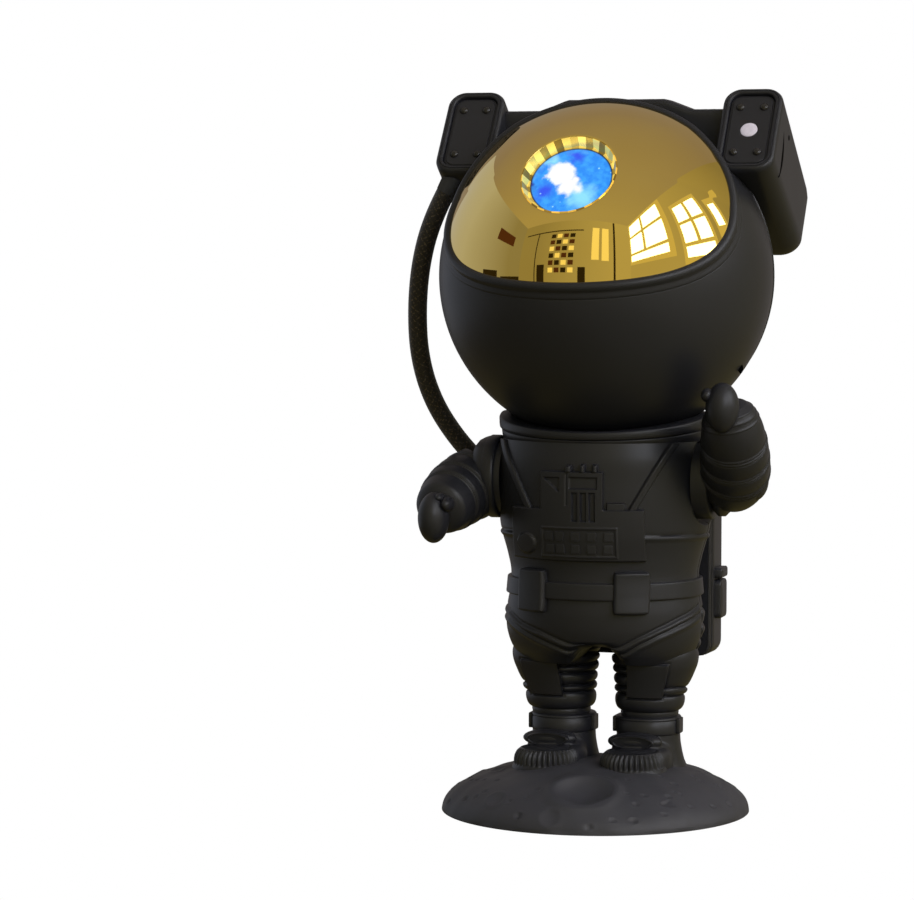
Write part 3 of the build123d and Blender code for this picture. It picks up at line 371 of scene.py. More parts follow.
def solid_between(outer, inner, closed, ends=(True, True)):
    """A closed wall between two grids of points; ends says which end rows are edges, not poles."""
    rows, columns = outer.shape[:2]
    count = rows * columns
    faces = grid_faces(rows, columns, closed)
    index = np.arange(count).reshape(rows, columns)
    lines = [index[r] for r, is_edge in zip((0, -1), ends) if is_edge]
    parts = [faces, faces[:, ::-1] + count]
    for line in lines:
        line = np.append(line, line[0]) if closed else line
        parts.append(np.stack([line[:-1], line[1:], line[1:] + count, line[:-1] + count], -1))
    if not closed:
        for line in (index[:, 0], index[:, -1]):
            parts.append(np.stack([line[:-1], line[1:], line[1:] + count, line[:-1] + count], -1))
    return np.concatenate([outer.reshape(-1, 3), inner.reshape(-1, 3)]), np.concatenate(parts)


black_abs = moulded_abs("moulded_black_abs", "#17181c", 0.4, 0.5, 0.00002)
moon_abs = moulded_abs("stony_black_abs", "#292a2f", 0.55, 0.7, 0.00006)
BASE_R, BASE_HEIGHT, BASE_WALL = 48.7, 15.8, 2.5
# x, y, radius, depth and rim height of each crater
CRATERS = [
    (4.6, -33.4, 9.5, 3.3, 1.0), (-2.7, -46.3, 3.2, 0.5, 0.15), (-22.3, -36.3, 3.2, 0.7, 0.2),
    (-13.0, -44.8, 1.5, 0.7, 0.15), (-12.4, -37.6, 1.3, 0.5, 0.1), (9.9, -47.0, 1.3, 0.5, 0.1),
    (22.4, -41.2, 1.4, 0.55, 0.15), (16.5, -43.7, 1.1, 0.4, 0.1), (17.9, -31.2, 1.1, 0.4, 0.1),
    (22.9, -29.9, 1.3, 0.45, 0.15), (21.6, -35.1, 1.2, 0.45, 0.1), (29.6, -30.1, 1.4, 0.5, 0.15),
    (30.2, -34.5, 1.1, 0.4, 0.1), (32.3, -21.3, 1.1, 0.45, 0.1), (29.1, -15.5, 1.6, 0.4, 0.15),
    (24.2, -12.4, 1.4, 0.4, 0.1), (16.0, -22.1, 1.3, 0.35, 0.1), (40.7, -0.2, 1.4, 0.5, 0.15),
    (41.9, -17.6, 1.2, 0.45, 0.1), (-41.6, -22.4, 1.2, 0.45, 0.1), (-34.5, -28.6, 1.4, 0.5, 0.1),
    (-30.4, -30.7, 1.1, 0.4, 0.1), (-27.8, -29.5, 1.3, 0.5, 0.1), (-31.4, -18.2, 1.2, 0.35, 0.1),
    (-26.1, -21.7, 1.2, 0.4, 0.1), (-17.5, -38.8, 1.2, 0.4, 0.1), (-9.8, -33.3, 1.2, 0.4, 0.1),
    (-24.0, 30.0, 6.5, 1.4, 0.5), (27.0, 30.0, 4.5, 1.0, 0.35), (4.0, 42.0, 3.2, 0.8, 0.25),
    (-42.0, 6.0, 3.4, 0.8, 0.25), (39.0, 16.0, 3.0, 0.7, 0.2), (-30.0, -8.0, 2.4, 0.5, 0.15),
]
chance = np.random.default_rng(7)                       # small pits round the sides and the back
for _ in range(46):
    angle, reach = chance.uniform(-0.25 * np.pi, 1.25 * np.pi), chance.uniform(0.55, 0.96) * BASE_R
    CRATERS.append((reach * np.cos(angle), reach * np.sin(angle), chance.uniform(0.7, 1.5), 0.4, 0.1))
fall = np.linspace(0, np.pi / 2, 120)[:, None]
turn = np.linspace(0, 2 * np.pi, 400, endpoint=False)[None, :]
dome = np.stack([BASE_R * np.sin(fall) * np.cos(turn), BASE_R * np.sin(fall) * np.sin(turn),
                 BASE_HEIGHT * np.cos(fall) + 0 * turn], -1)
out = np.stack([dome[..., 0] / BASE_R**2, dome[..., 1] / BASE_R**2, dome[..., 2] / BASE_HEIGHT**2], -1)
out /= np.linalg.norm(out, axis=-1)[..., None]
relief = np.zeros(dome.shape[:2])
for x, y, radius, depth, rim in CRATERS:
    z = BASE_HEIGHT * math.sqrt(max(0.0, 1 - (x * x + y * y) / BASE_R**2))
    away = np.linalg.norm(dome - np.array([x, y, z]), axis=-1) / radius
    bowl = np.clip(1 - away**2, 0, 1) ** 1.3
    relief += -depth * bowl + rim * np.exp(-((away - 1.08) / 0.22) ** 2)
# slow lumps: how high, waves to the millimetre along x and y, and shift
for amount, waves, shift in ((0.28, (0.21, 0.17), 0.4), (0.16, (0.43, -0.36), 1.9), (0.12, (-0.6, 0.52), 3.1)):
    relief += amount * np.sin(dome[..., 0] * waves[0] + shift) * np.cos(dome[..., 1] * waves[1] - shift)
relief *= np.clip((dome[..., 2]) / 1.2, 0, 1)
dome = dome + out * np.minimum(relief, 0.8)[..., None]
hollow_r = BASE_R - BASE_WALL
inside = np.stack([hollow_r * np.sin(fall) * np.cos(turn), hollow_r * np.sin(fall) * np.sin(turn),
                   (BASE_HEIGHT - BASE_WALL) * np.cos(fall) + 0 * turn], -1)
inside[..., 2] = np.minimum(inside[..., 2], dome[..., 2] - 0.6).clip(0)
base = mesh_piece("moon_base_dome", [solid_between(dome, inside, True, (False, True))], moon_abs, 180.0)
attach(base, "body")
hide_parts("moon_base")


# ---- legs ----
# Hollow mouldings in the form of padded trousers: a smooth calf outside, small folds inside the
# knee, and a flat patch over each knee. Each is held by a screw from below.
FIGURE_Y = 12.0            # the head, torso and legs all stand on this line
LEG_AXIS = [(8.0, 13.9), (29.0, 13.9), (35.5, 14.2), (42.0, 15.2), (47.0, 15.7), (54.0, 15.0)]
LEG_RADIUS = [(8.0, 9.0), (24.0, 9.3), (29.0, 10.0), (32.0, 10.9), (35.5, 11.5), (39.0, 12.2), (42.5, 13.0),
              (46.0, 13.8), (50.0, 14.0), (54.0, 12.4)]


def fold_relief(height, folds, bulge, crease):
    """Soft puffs between creases; folds holds each crease's height as an array."""
    total = np.zeros_like(height)
    for low, high in zip(folds, folds[1:]):
        part = (height - low) / (high - low)
        total += np.where((part > 0) & (part <= 1), bulge * (np.clip(4 * part * (1 - part), 0, 1) ** 0.55), 0)
    for fold in folds:
        total -= crease * np.exp(-np.abs(height - fold) / 0.45)
    return total


# each leg's patch (its middle round the leg, in radians, and its half width), and how it differs in mm
for side, side_name, patch_middle, patch_half, slimmer, outwards in (
        (-1, "right", -0.20, 6.9, 0.7, 0.3), (1, "left", 0.035, 7.0, 0.9, 0.9)):
    height = np.linspace(20.0, 53.0, 200)[:, None]
    turn = np.linspace(0, 2 * np.pi, 240, endpoint=False)[None, :]
    outward = np.cos(turn) * side                       # 1 on the leg's outer side
    forward = -np.sin(turn)                             # 1 in front
    level = height + 0 * turn
    inner_folds = [30.6 + 0 * turn, 36.2 + 0.3 * forward, 38.9 - 0.3 * forward, 42.3 + 0.4 * forward,
                   45.4 - 0.5 * forward, 48.4 + 0.8 * forward, 52.0 + 0 * turn]
    outer_folds = [30.6 + 0 * turn, 35.8 + 0.3 * forward, 38.2 + 1.2 * forward * outward, 50.6 + 2.0 * outward]
    inside = np.clip(0.5 - 1.6 * outward, 0, 1)
    relief = (inside * fold_relief(level, inner_folds, 0.85, 0.6)
              + (1 - inside) * fold_relief(level, outer_folds, 0.8, 0.5))
    radius = line_between(height, LEG_RADIUS) + relief - slimmer
    facing = np.angle(np.exp(1j * (turn + np.pi / 2 - patch_middle)))
    across = facing * line_between(height, LEG_RADIUS)
    inset = np.minimum(patch_half - np.abs(across) - 0.08 * (46.2 - height), np.minimum(height - 35.4, 46.6 - height))
    patch = np.clip(inset / 0.35, 0, 1)
    plain = line_between(height, LEG_RADIUS) + 1.05 - slimmer + 0.012 * across**2
    radius = radius * (1 - patch) + plain * patch - 0.35 * np.exp(-((inset + 0.3) / 0.3) ** 2)
    centre = line_between(height, LEG_AXIS) + outwards
    skin = np.stack([side * centre + radius * np.cos(turn), FIGURE_Y + radius * np.sin(turn), level], -1)
    floor_ring = np.stack([side * centre[:1] + 0 * turn, FIGURE_Y + 0 * turn, height[:1] + 0 * turn], -1)
    roof_ring = floor_ring + np.array([0, 0, 33.0])
    skin = np.concatenate([floor_ring, skin, roof_ring])
    leg = mesh_piece(f"leg_{side_name}_folds", [(skin, grid_faces(*skin.shape[:2], True))], black_abs, 50.0)
    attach(leg, "body")
    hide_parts(f"leg_{side_name}")


# ---- torso ----
# Two moulded shells that meet at the sides, shaped as a pressure suit: hip folds in front, a bead
# round the waist, and a flat seat on each side for the shoulder discs.
TORSO_WIDTH = [(46.5, 27.2), (50.0, 29.6), (55.0, 31.4), (62.0, 31.6), (70.0, 30.4), (75.0, 30.2), (80.0, 31.2),
               (88.0, 33.4), (96.0, 34.4), (105.0, 34.6), (112.0, 34.3), (117.0, 33.0)]
TORSO_DEPTH = [(46.5, 20.0), (50.0, 23.4), (55.0, 26.0), (62.0, 27.2), (70.0, 26.8), (75.0, 26.6), (80.0, 27.0),
               (88.0, 28.2), (96.0, 28.8), (105.0, 28.9), (112.0, 28.6), (117.0, 27.6)]
# the arch of the crotch: its middle, half width and rise
ARCH_X, ARCH_HALF, ARCH_RISE = 2.4, 7.2, 6.2
SHOULDER_Y, SHOULDER_Z = 9.0, 104.4                     # the axis that both arms turn on


def on_torso(angle, height, proud):
    """A point of the torso's surface; angle 0 is in front and grows towards the figure's left."""
    width = line_between(height, TORSO_WIDTH) + proud
    depth = line_between(height, TORSO_DEPTH) + proud
    return np.stack([width * np.sin(angle), FIGURE_Y - depth * np.cos(angle), height + 0 * angle], -1)


def distance_to_line(x, z, line):
    """Distance from each grid point to a line of points."""
    best = np.full(np.broadcast(x, z).shape, 1e9)
    for (x0, z0), (x1, z1) in zip(line, line[1:]):
        dx, dz = x1 - x0, z1 - z0
        t = np.clip(((x - x0) * dx + (z - z0) * dz) / (dx * dx + dz * dz), 0, 1)
        best = np.minimum(best, np.hypot(x - x0 - t * dx, z - z0 - t * dz))
    return best


# hip folds as angle in degrees and height; each is a ridge with a groove above it
HIP_FOLDS = [
    [(-84, 62.6), (-62, 61.1), (-45, 58.1), (-28, 56.0), (-15, 53.5), (-4, 51.2), (3, 49.0)],
    [(84, 63.4), (59, 60.3), (44, 57.6), (31, 54.7), (20, 51.4), (13, 48.6)],
    [(-84, 60.0), (-62, 59.0), (-45, 56.2), (-16, 50.8), (-8, 48.4)],
    [(84, 61.0), (59, 58.0), (44, 55.4), (31, 52.2), (22, 48.8)],
]
for part_name, from_angle, to_angle in (("front", -90, 90), ("back", 90, 270)):
    angle = np.radians(np.linspace(from_angle + 0.12, to_angle - 0.12, 225))[None, :]
    height = np.concatenate([np.linspace(46.5, 66, 66), np.linspace(66.4, 117, 120)])[:, None]
    degrees = np.degrees(angle)
    relief = np.zeros(np.broadcast(angle, height).shape)
    if part_name == "front":
        for fold in HIP_FOLDS:
            line = [(a * 0.55, z) for a, z in fold]
            near = distance_to_line(degrees * 0.55, height + 0.0, line)
            above = distance_to_line(degrees * 0.55, height - 1.4, line)
            relief += 0.6 * np.exp(-((near / 0.9) ** 2)) - 0.5 * np.exp(-((above / 0.45) ** 2))
    else:
        for level in (51.5, 56.5, 61.5):
            relief += 0.5 * np.exp(-((height - level) / 1.3) ** 2) - 0.4 * np.exp(-((height - level - 1.9) / 0.5) ** 2)
    bead = 86.6 + 0.9 * np.cos(angle + 0.2)
    relief += 0.5 * np.exp(-((height - bead) / 0.75) ** 4) - 0.2 * np.exp(-((height - bead - 1.1) / 0.3) ** 2)
    seam = np.minimum(np.abs(degrees - from_angle), np.abs(to_angle - degrees))
    relief -= 0.35 * np.exp(-(seam / 0.6) ** 2)
    behind_axis = FIGURE_Y - line_between(height, TORSO_DEPTH) * np.cos(angle) - SHOULDER_Y
    near_axis = np.hypot(behind_axis, height - SHOULDER_Z)
    outer = on_torso(angle, height, relief)
    # the flat seats for the shoulder discs, easing into the round side
    seat_x = 31.2 + 5.0 * np.clip((near_axis - 12.6) / 2.6, 0, 1) ** 1.5
    flat_to = np.where(np.abs(outer[..., 0]) > 20, seat_x, 99.0)
    outer[..., 0] = np.clip(outer[..., 0], -flat_to, flat_to)
    # the crotch: the underside rises to an arch between the legs
    arch = ARCH_RISE * np.exp(-((outer[..., 0] - ARCH_X) / ARCH_HALF) ** 4) * np.clip((54.5 - height) / 8, 0, 1)
    outer[..., 2] += arch
    inner = on_torso(angle, height, -2.4)
    inner[..., 0] = np.clip(inner[..., 0], 2.4 - flat_to, flat_to - 2.4)
    inner[..., 2] = np.maximum(inner[..., 2] + arch, 49.2)
    shares = np.linspace(0.02, 0.97, 22)[:, None, None]
    middle_point = np.array([0.0, FIGURE_Y, 0.0])
    under = np.stack([outer[0, :, 0] * shares[..., 0], FIGURE_Y + (outer[0, :, 1] - FIGURE_Y) * shares[..., 0],
                      45.9 + 0.6 * shares[..., 0] ** 6 + 0 * outer[0, :, 0]], -1)
    under[..., 2] += ARCH_RISE * np.exp(-((under[..., 0] - ARCH_X) / ARCH_HALF) ** 4)
    above = under.copy()
    above[..., 2] = np.maximum(under[..., 2] + 2.6, 49.2)
    above[..., :2] = middle_point[:2] + (above[..., :2] - middle_point[:2]) * 0.92
    torso = mesh_piece(f"torso_{part_name}_suit", [solid_between(
        np.concatenate([under, outer]), np.concatenate([above, inner]), False, (True, True))], black_abs, 60.0)
    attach(torso, "body")
    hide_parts(f"torso_{part_name}_shell")


# ---- collar ----
# The raised neck ring on top of the torso, lower in front, with the dish that the helmet rests in
# and a round pocket for the magnet.
turn = np.linspace(0, 2 * np.pi, 240, endpoint=False)
ahead = np.maximum(np.cos(turn), 0)                     # turn is nought in front
brim = 125.4 - 4.8 * ahead
line = brim - 4.2 + 1.5 * ahead
seat = 53.3                                             # the dish's radius about the head's centre
head_z = 168.7


def collar_row(proud, level):
    """A ring round the collar, proud of the torso's top outline."""
    return np.stack([(33.0 + proud) * np.sin(turn), FIGURE_Y - (27.6 + proud) * np.cos(turn), level + 0 * turn], -1)


def dish_row(radius, level):
    """A ring inside the collar, round the neck's axis."""
    return np.stack([radius * np.sin(turn), FIGURE_Y - radius * np.cos(turn), level + 0 * turn], -1)


mouth = np.sqrt(seat**2 - (head_z - brim) ** 2)
rows = [dish_row(0.0, 109.5), dish_row(24.0, 109.5), dish_row(24.9, 116.6), collar_row(-0.5, 116.6),
        collar_row(0.0, 117.0), collar_row(0.35, line - 0.5), collar_row(0.3, line - 0.2), collar_row(0.0, line),
        collar_row(0.6, line + 0.08), collar_row(0.95, line + 0.35), collar_row(1.1, line + 1.2),
        collar_row(1.15, brim - 0.7), collar_row(0.95, brim - 0.2), collar_row(0.5, brim), dish_row(mouth, brim)]
for share in np.linspace(0, 1, 16)[1:]:
    radius = mouth + (9.05 - mouth) * share
    rows.append(dish_row(radius, head_z - np.sqrt(seat**2 - radius**2)))
rows += [dish_row(9.05, 111.5), dish_row(0.0, 111.5)]
collar = mesh_piece("collar_ring", [(np.array(rows), grid_faces(len(rows), len(turn), True))], black_abs, 50.0)
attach(collar, "body")
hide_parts("neck_dish")


# ---- belt and pouches ----
# A flat belt in black ABS with softened edges, slipped round the waist, and two plain padded pouches
# glued over it.
BELT_LOW = 67.8
angle = np.linspace(0, 2 * np.pi, 560, endpoint=False)[None, :]
across = np.array([0, 0, 0.12, 0.3, 0.6, 1.5, 2.7, 3.9, 4.8, 5.1, 5.28, 5.4, 5.4])[:, None]
proud = np.array([-0.8, 0.75, 1.0, 1.12, 1.15, 1.17, 1.18, 1.17, 1.15, 1.12, 1.0, 0.75, -0.8])[:, None]
band = on_torso(angle, BELT_LOW + across, proud + 0 * angle)
back_rows = on_torso(angle, BELT_LOW + across, -0.8 - 0.2 * np.sin(np.pi * across / 5.4) + 0 * angle)
belt = mesh_piece("belt_band", [solid_between(band, back_rows, True)], black_abs, 50.0)
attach(belt, "body")
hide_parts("belt")


def torso_pad(low, high, thickness, corner, edge, cells):
    """A block on the torso's surface between two (x, z) corners, with rounded corners and edges."""
    columns = max(8, int((high[0] - low[0]) / cells))
    rows = max(8, int((high[1] - low[1]) / cells))
    u = np.linspace(-1, 1, columns + 1)[None, :]
    v = np.linspace(-1, 1, rows + 1)[:, None]
    half_x, half_z = (high[0] - low[0]) / 2, (high[1] - low[1]) / 2
    # squares the grid's corners off to a rounded outline
    cut = corner * (1 - math.sqrt(0.5))
    pull = np.clip(np.abs(u) * np.abs(v), 0, 1) ** (half_x / corner)
    x = (low[0] + high[0]) / 2 + u * (half_x - cut * pull)
    z = (low[1] + high[1]) / 2 + v * (half_z - cut * pull)
    inset = np.minimum((1 - np.abs(u)) * half_x, (1 - np.abs(v)) * half_z)
    rise = np.sqrt(np.clip(1 - (1 - np.clip(inset / edge, 0, 1)) ** 2, 0, 1))
    angle = np.arcsin(np.clip(x / line_between(z, TORSO_WIDTH), -1, 1))
    return solid_between(on_torso(angle, z, thickness * rise), on_torso(angle, z, -0.9 + 0 * x), False)


POUCHES = (((-21.9, 63.2), (-12.4, 77.2)), ((8.8, 63.3), (19.3, 77.1)))
pouches = mesh_piece("belt_pouch_pair", [torso_pad(low, high, 2.5, 1.5, 1.0, 0.3) for low, high in POUCHES],
                     black_abs, 50.0)
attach(pouches, "body")
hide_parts("belt_pouches")


# ---- harness straps ----
# Two flat rails in black ABS with softened edges, glued to the torso from the collar down to the
# chest panel.
def torso_strip(top, foot, width, thickness):
    """A strap on the torso's surface between two (x, z) points."""
    along = np.linspace(0, 1, 60)[:, None]
    across = np.linspace(-0.5, 0.5, 15)[None, :] * width
    x = foot[0] + (top[0] - foot[0]) * along + across
    z = foot[1] + (top[1] - foot[1]) * along + 0 * across
    profile = np.array([0.1, 0.6, 0.9, 1.0, 1.02, 1.0, 0.98, 0.97, 0.96, 0.95, 0.93, 0.9, 0.8, 0.5, 0.0])[None, :]
    angle = np.arcsin(np.clip(x / line_between(z, TORSO_WIDTH), -1, 1))
    return solid_between(on_torso(angle, z, thickness * profile + 0 * x), on_torso(angle, z, -0.9 + 0 * x), False)


straps = mesh_piece("harness_strap_pair", [torso_strip((-29.8, 116.9), (-18.1, 96.2), 2.6, 1.2),
                                           torso_strip((26.3, 116.9), (15.0, 96.2), 2.7, 1.2)], black_abs, 50.0)
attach(straps, "body")
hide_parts("harness_straps")


# ---- chest panel ----
# A stepped control panel in relief: a small display with three slots under it, a keypad with two
# rows of keys, a round knob, and three pegs along its top edge.
PANEL_WIDE = ((-24.0, 80.0), (18.4, 96.6))
PANEL_TALL = ((-13.6, 80.0), (6.6, 108.4))


def inset_of(x, z, low, high):
    """How far each point lies inside a rectangle; below nought is outside."""
    return np.minimum(np.minimum(x - low[0], high[0] - x), np.minimum(z - low[1], high[1] - z))


PANEL_CELL = 0.22
x, z = np.meshgrid(np.arange(-24.8, 19.2, PANEL_CELL), np.arange(79.2, 109.6, PANEL_CELL))
inset = np.maximum(inset_of(x, z, *PANEL_WIDE), inset_of(x, z, *PANEL_TALL))
top = np.where(inset > 0, 1.6 * np.sqrt(np.clip(1 - (1 - np.clip(inset / 0.5, 0, 1)) ** 2, 0, 1)), -0.5)
inner = inset > 0.8
tall_line = np.exp(-((x + 4.9) / 0.28) ** 2) * (z > 97.6)
top = top - 0.3 * tall_line * inner
# the display, the three slots, the keypad's rim and its sunk floor
for low, high, step in (((-4.0, 103.0), (4.5, 106.4), -0.6), ((-3.1, 92.8), (-1.6, 101.7), -0.9),
                        ((-0.4, 92.8), (1.1, 101.7), -0.9), ((2.3, 92.8), (3.8, 101.7), -0.9),
                        ((-13.2, 81.2), (10.4, 90.8), 0.3), ((-12.6, 81.8), (9.8, 90.2), -0.35)):
    edge = inset_of(x, z, low, high)
    top = top + step * np.clip(edge / 0.3 + 0.5, 0, 1) * inner
ear = inset_of(x, z, (-12.3, 102.0), (-7.2, 106.2))
ear = np.minimum(ear, ((x + 12.3) - (106.2 - z) * 1.15) * 0.7)
top = top - 0.75 * np.clip(ear / 0.3 + 0.5, 0, 1) * inner
knob = np.hypot(x + 18.2, z - 85.2)
top = top + 0.9 * np.clip((3.2 - knob) / 0.6 + 0.5, 0, 1)
panel_angle = np.arcsin(np.clip(x / line_between(z, TORSO_WIDTH), -1, 1))
panel_parts = [solid_between(on_torso(panel_angle, z, top), on_torso(panel_angle, z, -1.4 + 0 * x), False)]
panel_parts.append(torso_pad((7.3, 96.0), (13.0, 98.7), 1.3, 0.5, 0.4, 0.3))
for low_x, high_x, high_z in ((-5.3, -3.2, 110.4), (-0.8, 1.1, 110.8), (2.9, 4.9, 110.8)):
    panel_parts.append(torso_pad((low_x, 107.6), (high_x, high_z), 2.1, 0.6, 0.9, 0.2))
panel = mesh_piece("chest_control_panel", panel_parts, black_abs, 40.0)
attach(panel, "body")
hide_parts("chest_panel")


def points_with_facing(name, spots, facings):
    """Loose points in mm, each with the way that a piece hung on it should face."""
    mesh = bpy.data.meshes.new(name)
    mesh.from_pydata([tuple(np.asarray(spot) * 0.001) for spot in spots], [], [])
    way = np.array(facings, float)
    way /= np.linalg.norm(way, axis=1)[:, None]
    mesh.attributes.new("facing", "FLOAT_VECTOR", "POINT").data.foreach_set("vector", way.ravel())
    carrier = bpy.data.objects.new(name, mesh)
    bpy.context.scene.collection.objects.link(carrier)
    return carrier


def grown_piece(name, carrier, tree, values):
    """Runs a node tree on the carrier with its named inputs, and keeps the plain mesh as a piece."""
    modifier = carrier.modifiers.new(name, "NODES")
    modifier.node_group = tree
    for item in tree.interface.items_tree:
        if item.item_type == "SOCKET" and item.in_out == "INPUT" and item.name in values:
            modifier[item.identifier] = values[item.name]
    bpy.context.view_layer.update()
    mesh = bpy.data.meshes.new_from_object(carrier.evaluated_get(bpy.context.evaluated_depsgraph_get()))
    carrier.modifiers.remove(modifier)
    bpy.data.objects.remove(carrier)
    mesh.name = name
    piece = bpy.data.objects.new(name, mesh)
    bpy.context.scene.collection.objects.link(piece)
    return piece


def tree_with(name, inputs):
    """A geometry tree with named inputs, and its input and output nodes."""
    tree = bpy.data.node_groups.new(name, "GeometryNodeTree")
    tree.interface.new_socket("Geometry", in_out="INPUT", socket_type="NodeSocketGeometry")
    for label, kind in inputs.items():
        tree.interface.new_socket(label, in_out="INPUT", socket_type=kind)
    tree.interface.new_socket("Geometry", in_out="OUTPUT", socket_type="NodeSocketGeometry")
    return tree, add(tree, "NodeGroupInput"), add(tree, "NodeGroupOutput")


def hung_blocks(name):
    """A cushioned block on every point, its back towards the point's facing."""
    tree, source, end = tree_with(name, {
        "Width": "NodeSocketFloat", "Height": "NodeSocketFloat", "Depth": "NodeSocketFloat",
        "Finish": "NodeSocketMaterial"})
    size = add(tree, "ShaderNodeCombineXYZ", {
        "X": source.outputs["Width"], "Y": source.outputs["Height"], "Z": source.outputs["Depth"]})
    block = add(tree, "GeometryNodeMeshCube", {
        "Size": size.outputs["Vector"], "Vertices X": 4, "Vertices Y": 4, "Vertices Z": 3})
    soft = add(tree, "GeometryNodeSubdivisionSurface", {"Mesh": block.outputs["Mesh"], "Level": 1, "Edge Crease": 0.35})
    facing = add(tree, "GeometryNodeInputNamedAttribute", {"Name": "facing"}, data_type="FLOAT_VECTOR")
    up = add(tree, "FunctionNodeAxesToRotation", {
        "Primary Axis": facing.outputs["Attribute"], "Secondary Axis": (0.0, 0.0, 1.0)},
        primary_axis="Z", secondary_axis="Y")
    placed = add(tree, "GeometryNodeInstanceOnPoints", {
        "Points": source.outputs["Geometry"], "Instance": soft.outputs["Mesh"], "Rotation": up.outputs["Rotation"]})
    real = add(tree, "GeometryNodeRealizeInstances", {"Geometry": placed.outputs["Instances"]})
    painted = add(tree, "GeometryNodeSetMaterial", {
        "Geometry": real.outputs["Geometry"], "Material": source.outputs["Finish"]})
    tree.links.new(painted.outputs["Geometry"], end.inputs["Geometry"])
    return tree


spots, facings = [], []
for key_z in (84.0, 88.0):
    for key_x in (-10.2, -6.9, -2.1, 2.8, 7.7):
        key_angle = math.asin(key_x / 32.4)
        spots.append(on_torso(np.array([key_angle]), np.array([key_z]), 1.05)[0])
        facings.append((math.sin(key_angle) * 0.88, -math.cos(key_angle), -0.08))
keys = grown_piece("keypad_keys", points_with_facing("key_points", spots, facings), hung_blocks("keypad_key_rows"),
                   {"Width": 0.0031, "Height": 0.0030, "Depth": 0.0016, "Finish": black_abs})
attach(keys, "body")
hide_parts("chest_panel")


# ---- boots ----
# Moulded overshoes: a low round toe with upright ribs, a padded instep roll with a flat oval
# plate, and a smooth heel. They are glued over the foot of each leg.
def ball(centre, half_sizes, rows=24, columns=40):
    """A ball, or one squeezed to an egg, in mm."""
    fall = np.linspace(0, np.pi, rows)[:, None]
    turn = np.linspace(0, 2 * np.pi, columns, endpoint=False)[None, :]
    points = np.stack([np.sin(fall) * np.cos(turn), np.sin(fall) * np.sin(turn), np.cos(fall) + 0 * turn], -1)
    return points * np.array(half_sizes) + np.array(centre), grid_faces(rows, columns, True)


def ringed(centre, profile, columns=96, stretch=(1.0, 1.0)):
    """A turned shape about an upright axis; profile is (radius, height) from bottom to top."""
    profile = np.array(profile, float)
    turn = np.linspace(0, 2 * np.pi, columns, endpoint=False)[None, :]
    points = np.stack([centre[0] + stretch[0] * profile[:, :1] * np.cos(turn),
                       centre[1] + stretch[1] * profile[:, :1] * np.sin(turn), profile[:, 1:] + 0 * turn], -1)
    return points, grid_faces(len(profile), columns, True)


def melted(name, parts, voxel_mm, smoothing, material):
    """Joins overlapping closed shapes into one skin, as clay would, and smooths it."""
    piece = mesh_piece(name, parts, material, 180.0)
    remesh = piece.modifiers.new("join", "REMESH")
    remesh.mode = "VOXEL"
    remesh.voxel_size = voxel_mm * 0.001
    if smoothing:
        soften = piece.modifiers.new("soften", "SMOOTH")
        soften.factor = 0.5
        soften.iterations = smoothing
    bpy.context.view_layer.update()
    mesh = bpy.data.meshes.new_from_object(piece.evaluated_get(bpy.context.evaluated_depsgraph_get()))
    piece.modifiers.clear()
    piece.data = mesh
    mesh.shade_smooth()
    if not mesh.materials:
        mesh.materials.append(material)
    return piece


LEG_X = 13.9               # each leg's distance from the middle


def rounded_profile(radius, low, high, corner):
    """A turned pillow's side view with rounded top and bottom corners."""
    steps = np.linspace(0, np.pi / 2, 7)
    lower = [(radius - corner + corner * math.sin(s), low + corner - corner * math.cos(s)) for s in steps]
    upper = [(radius - corner + corner * math.cos(s), high - corner + corner * math.sin(s)) for s in steps]
    return [(0.0, low)] + lower + upper + [(0.0, high)]


def ribbed_toe(centre, rows, ribs, depth):
    """A low bun with upright ribs over its front; rows is (radius, height, share of the ribs)."""
    rows = np.array(rows, float)
    turn = np.linspace(0, 2 * np.pi, 540, endpoint=False)[None, :]
    ahead = np.angle(np.exp(1j * (turn + np.pi / 2)))
    wave = 0.5 + 0.5 * np.cos(ribs * ahead)
    comb = depth * (wave**0.7 - 1.0) * np.clip((1.92 - np.abs(ahead)) / 0.12, 0, 1)     # ribs end at 110 degrees
    radius = rows[:, :1] + rows[:, 2:] * comb
    points = np.stack([centre[0] + radius * np.cos(turn), centre[1] + radius * np.sin(turn), rows[:, 1:2] + 0 * turn], -1)
    return points, grid_faces(len(rows), 540, True)


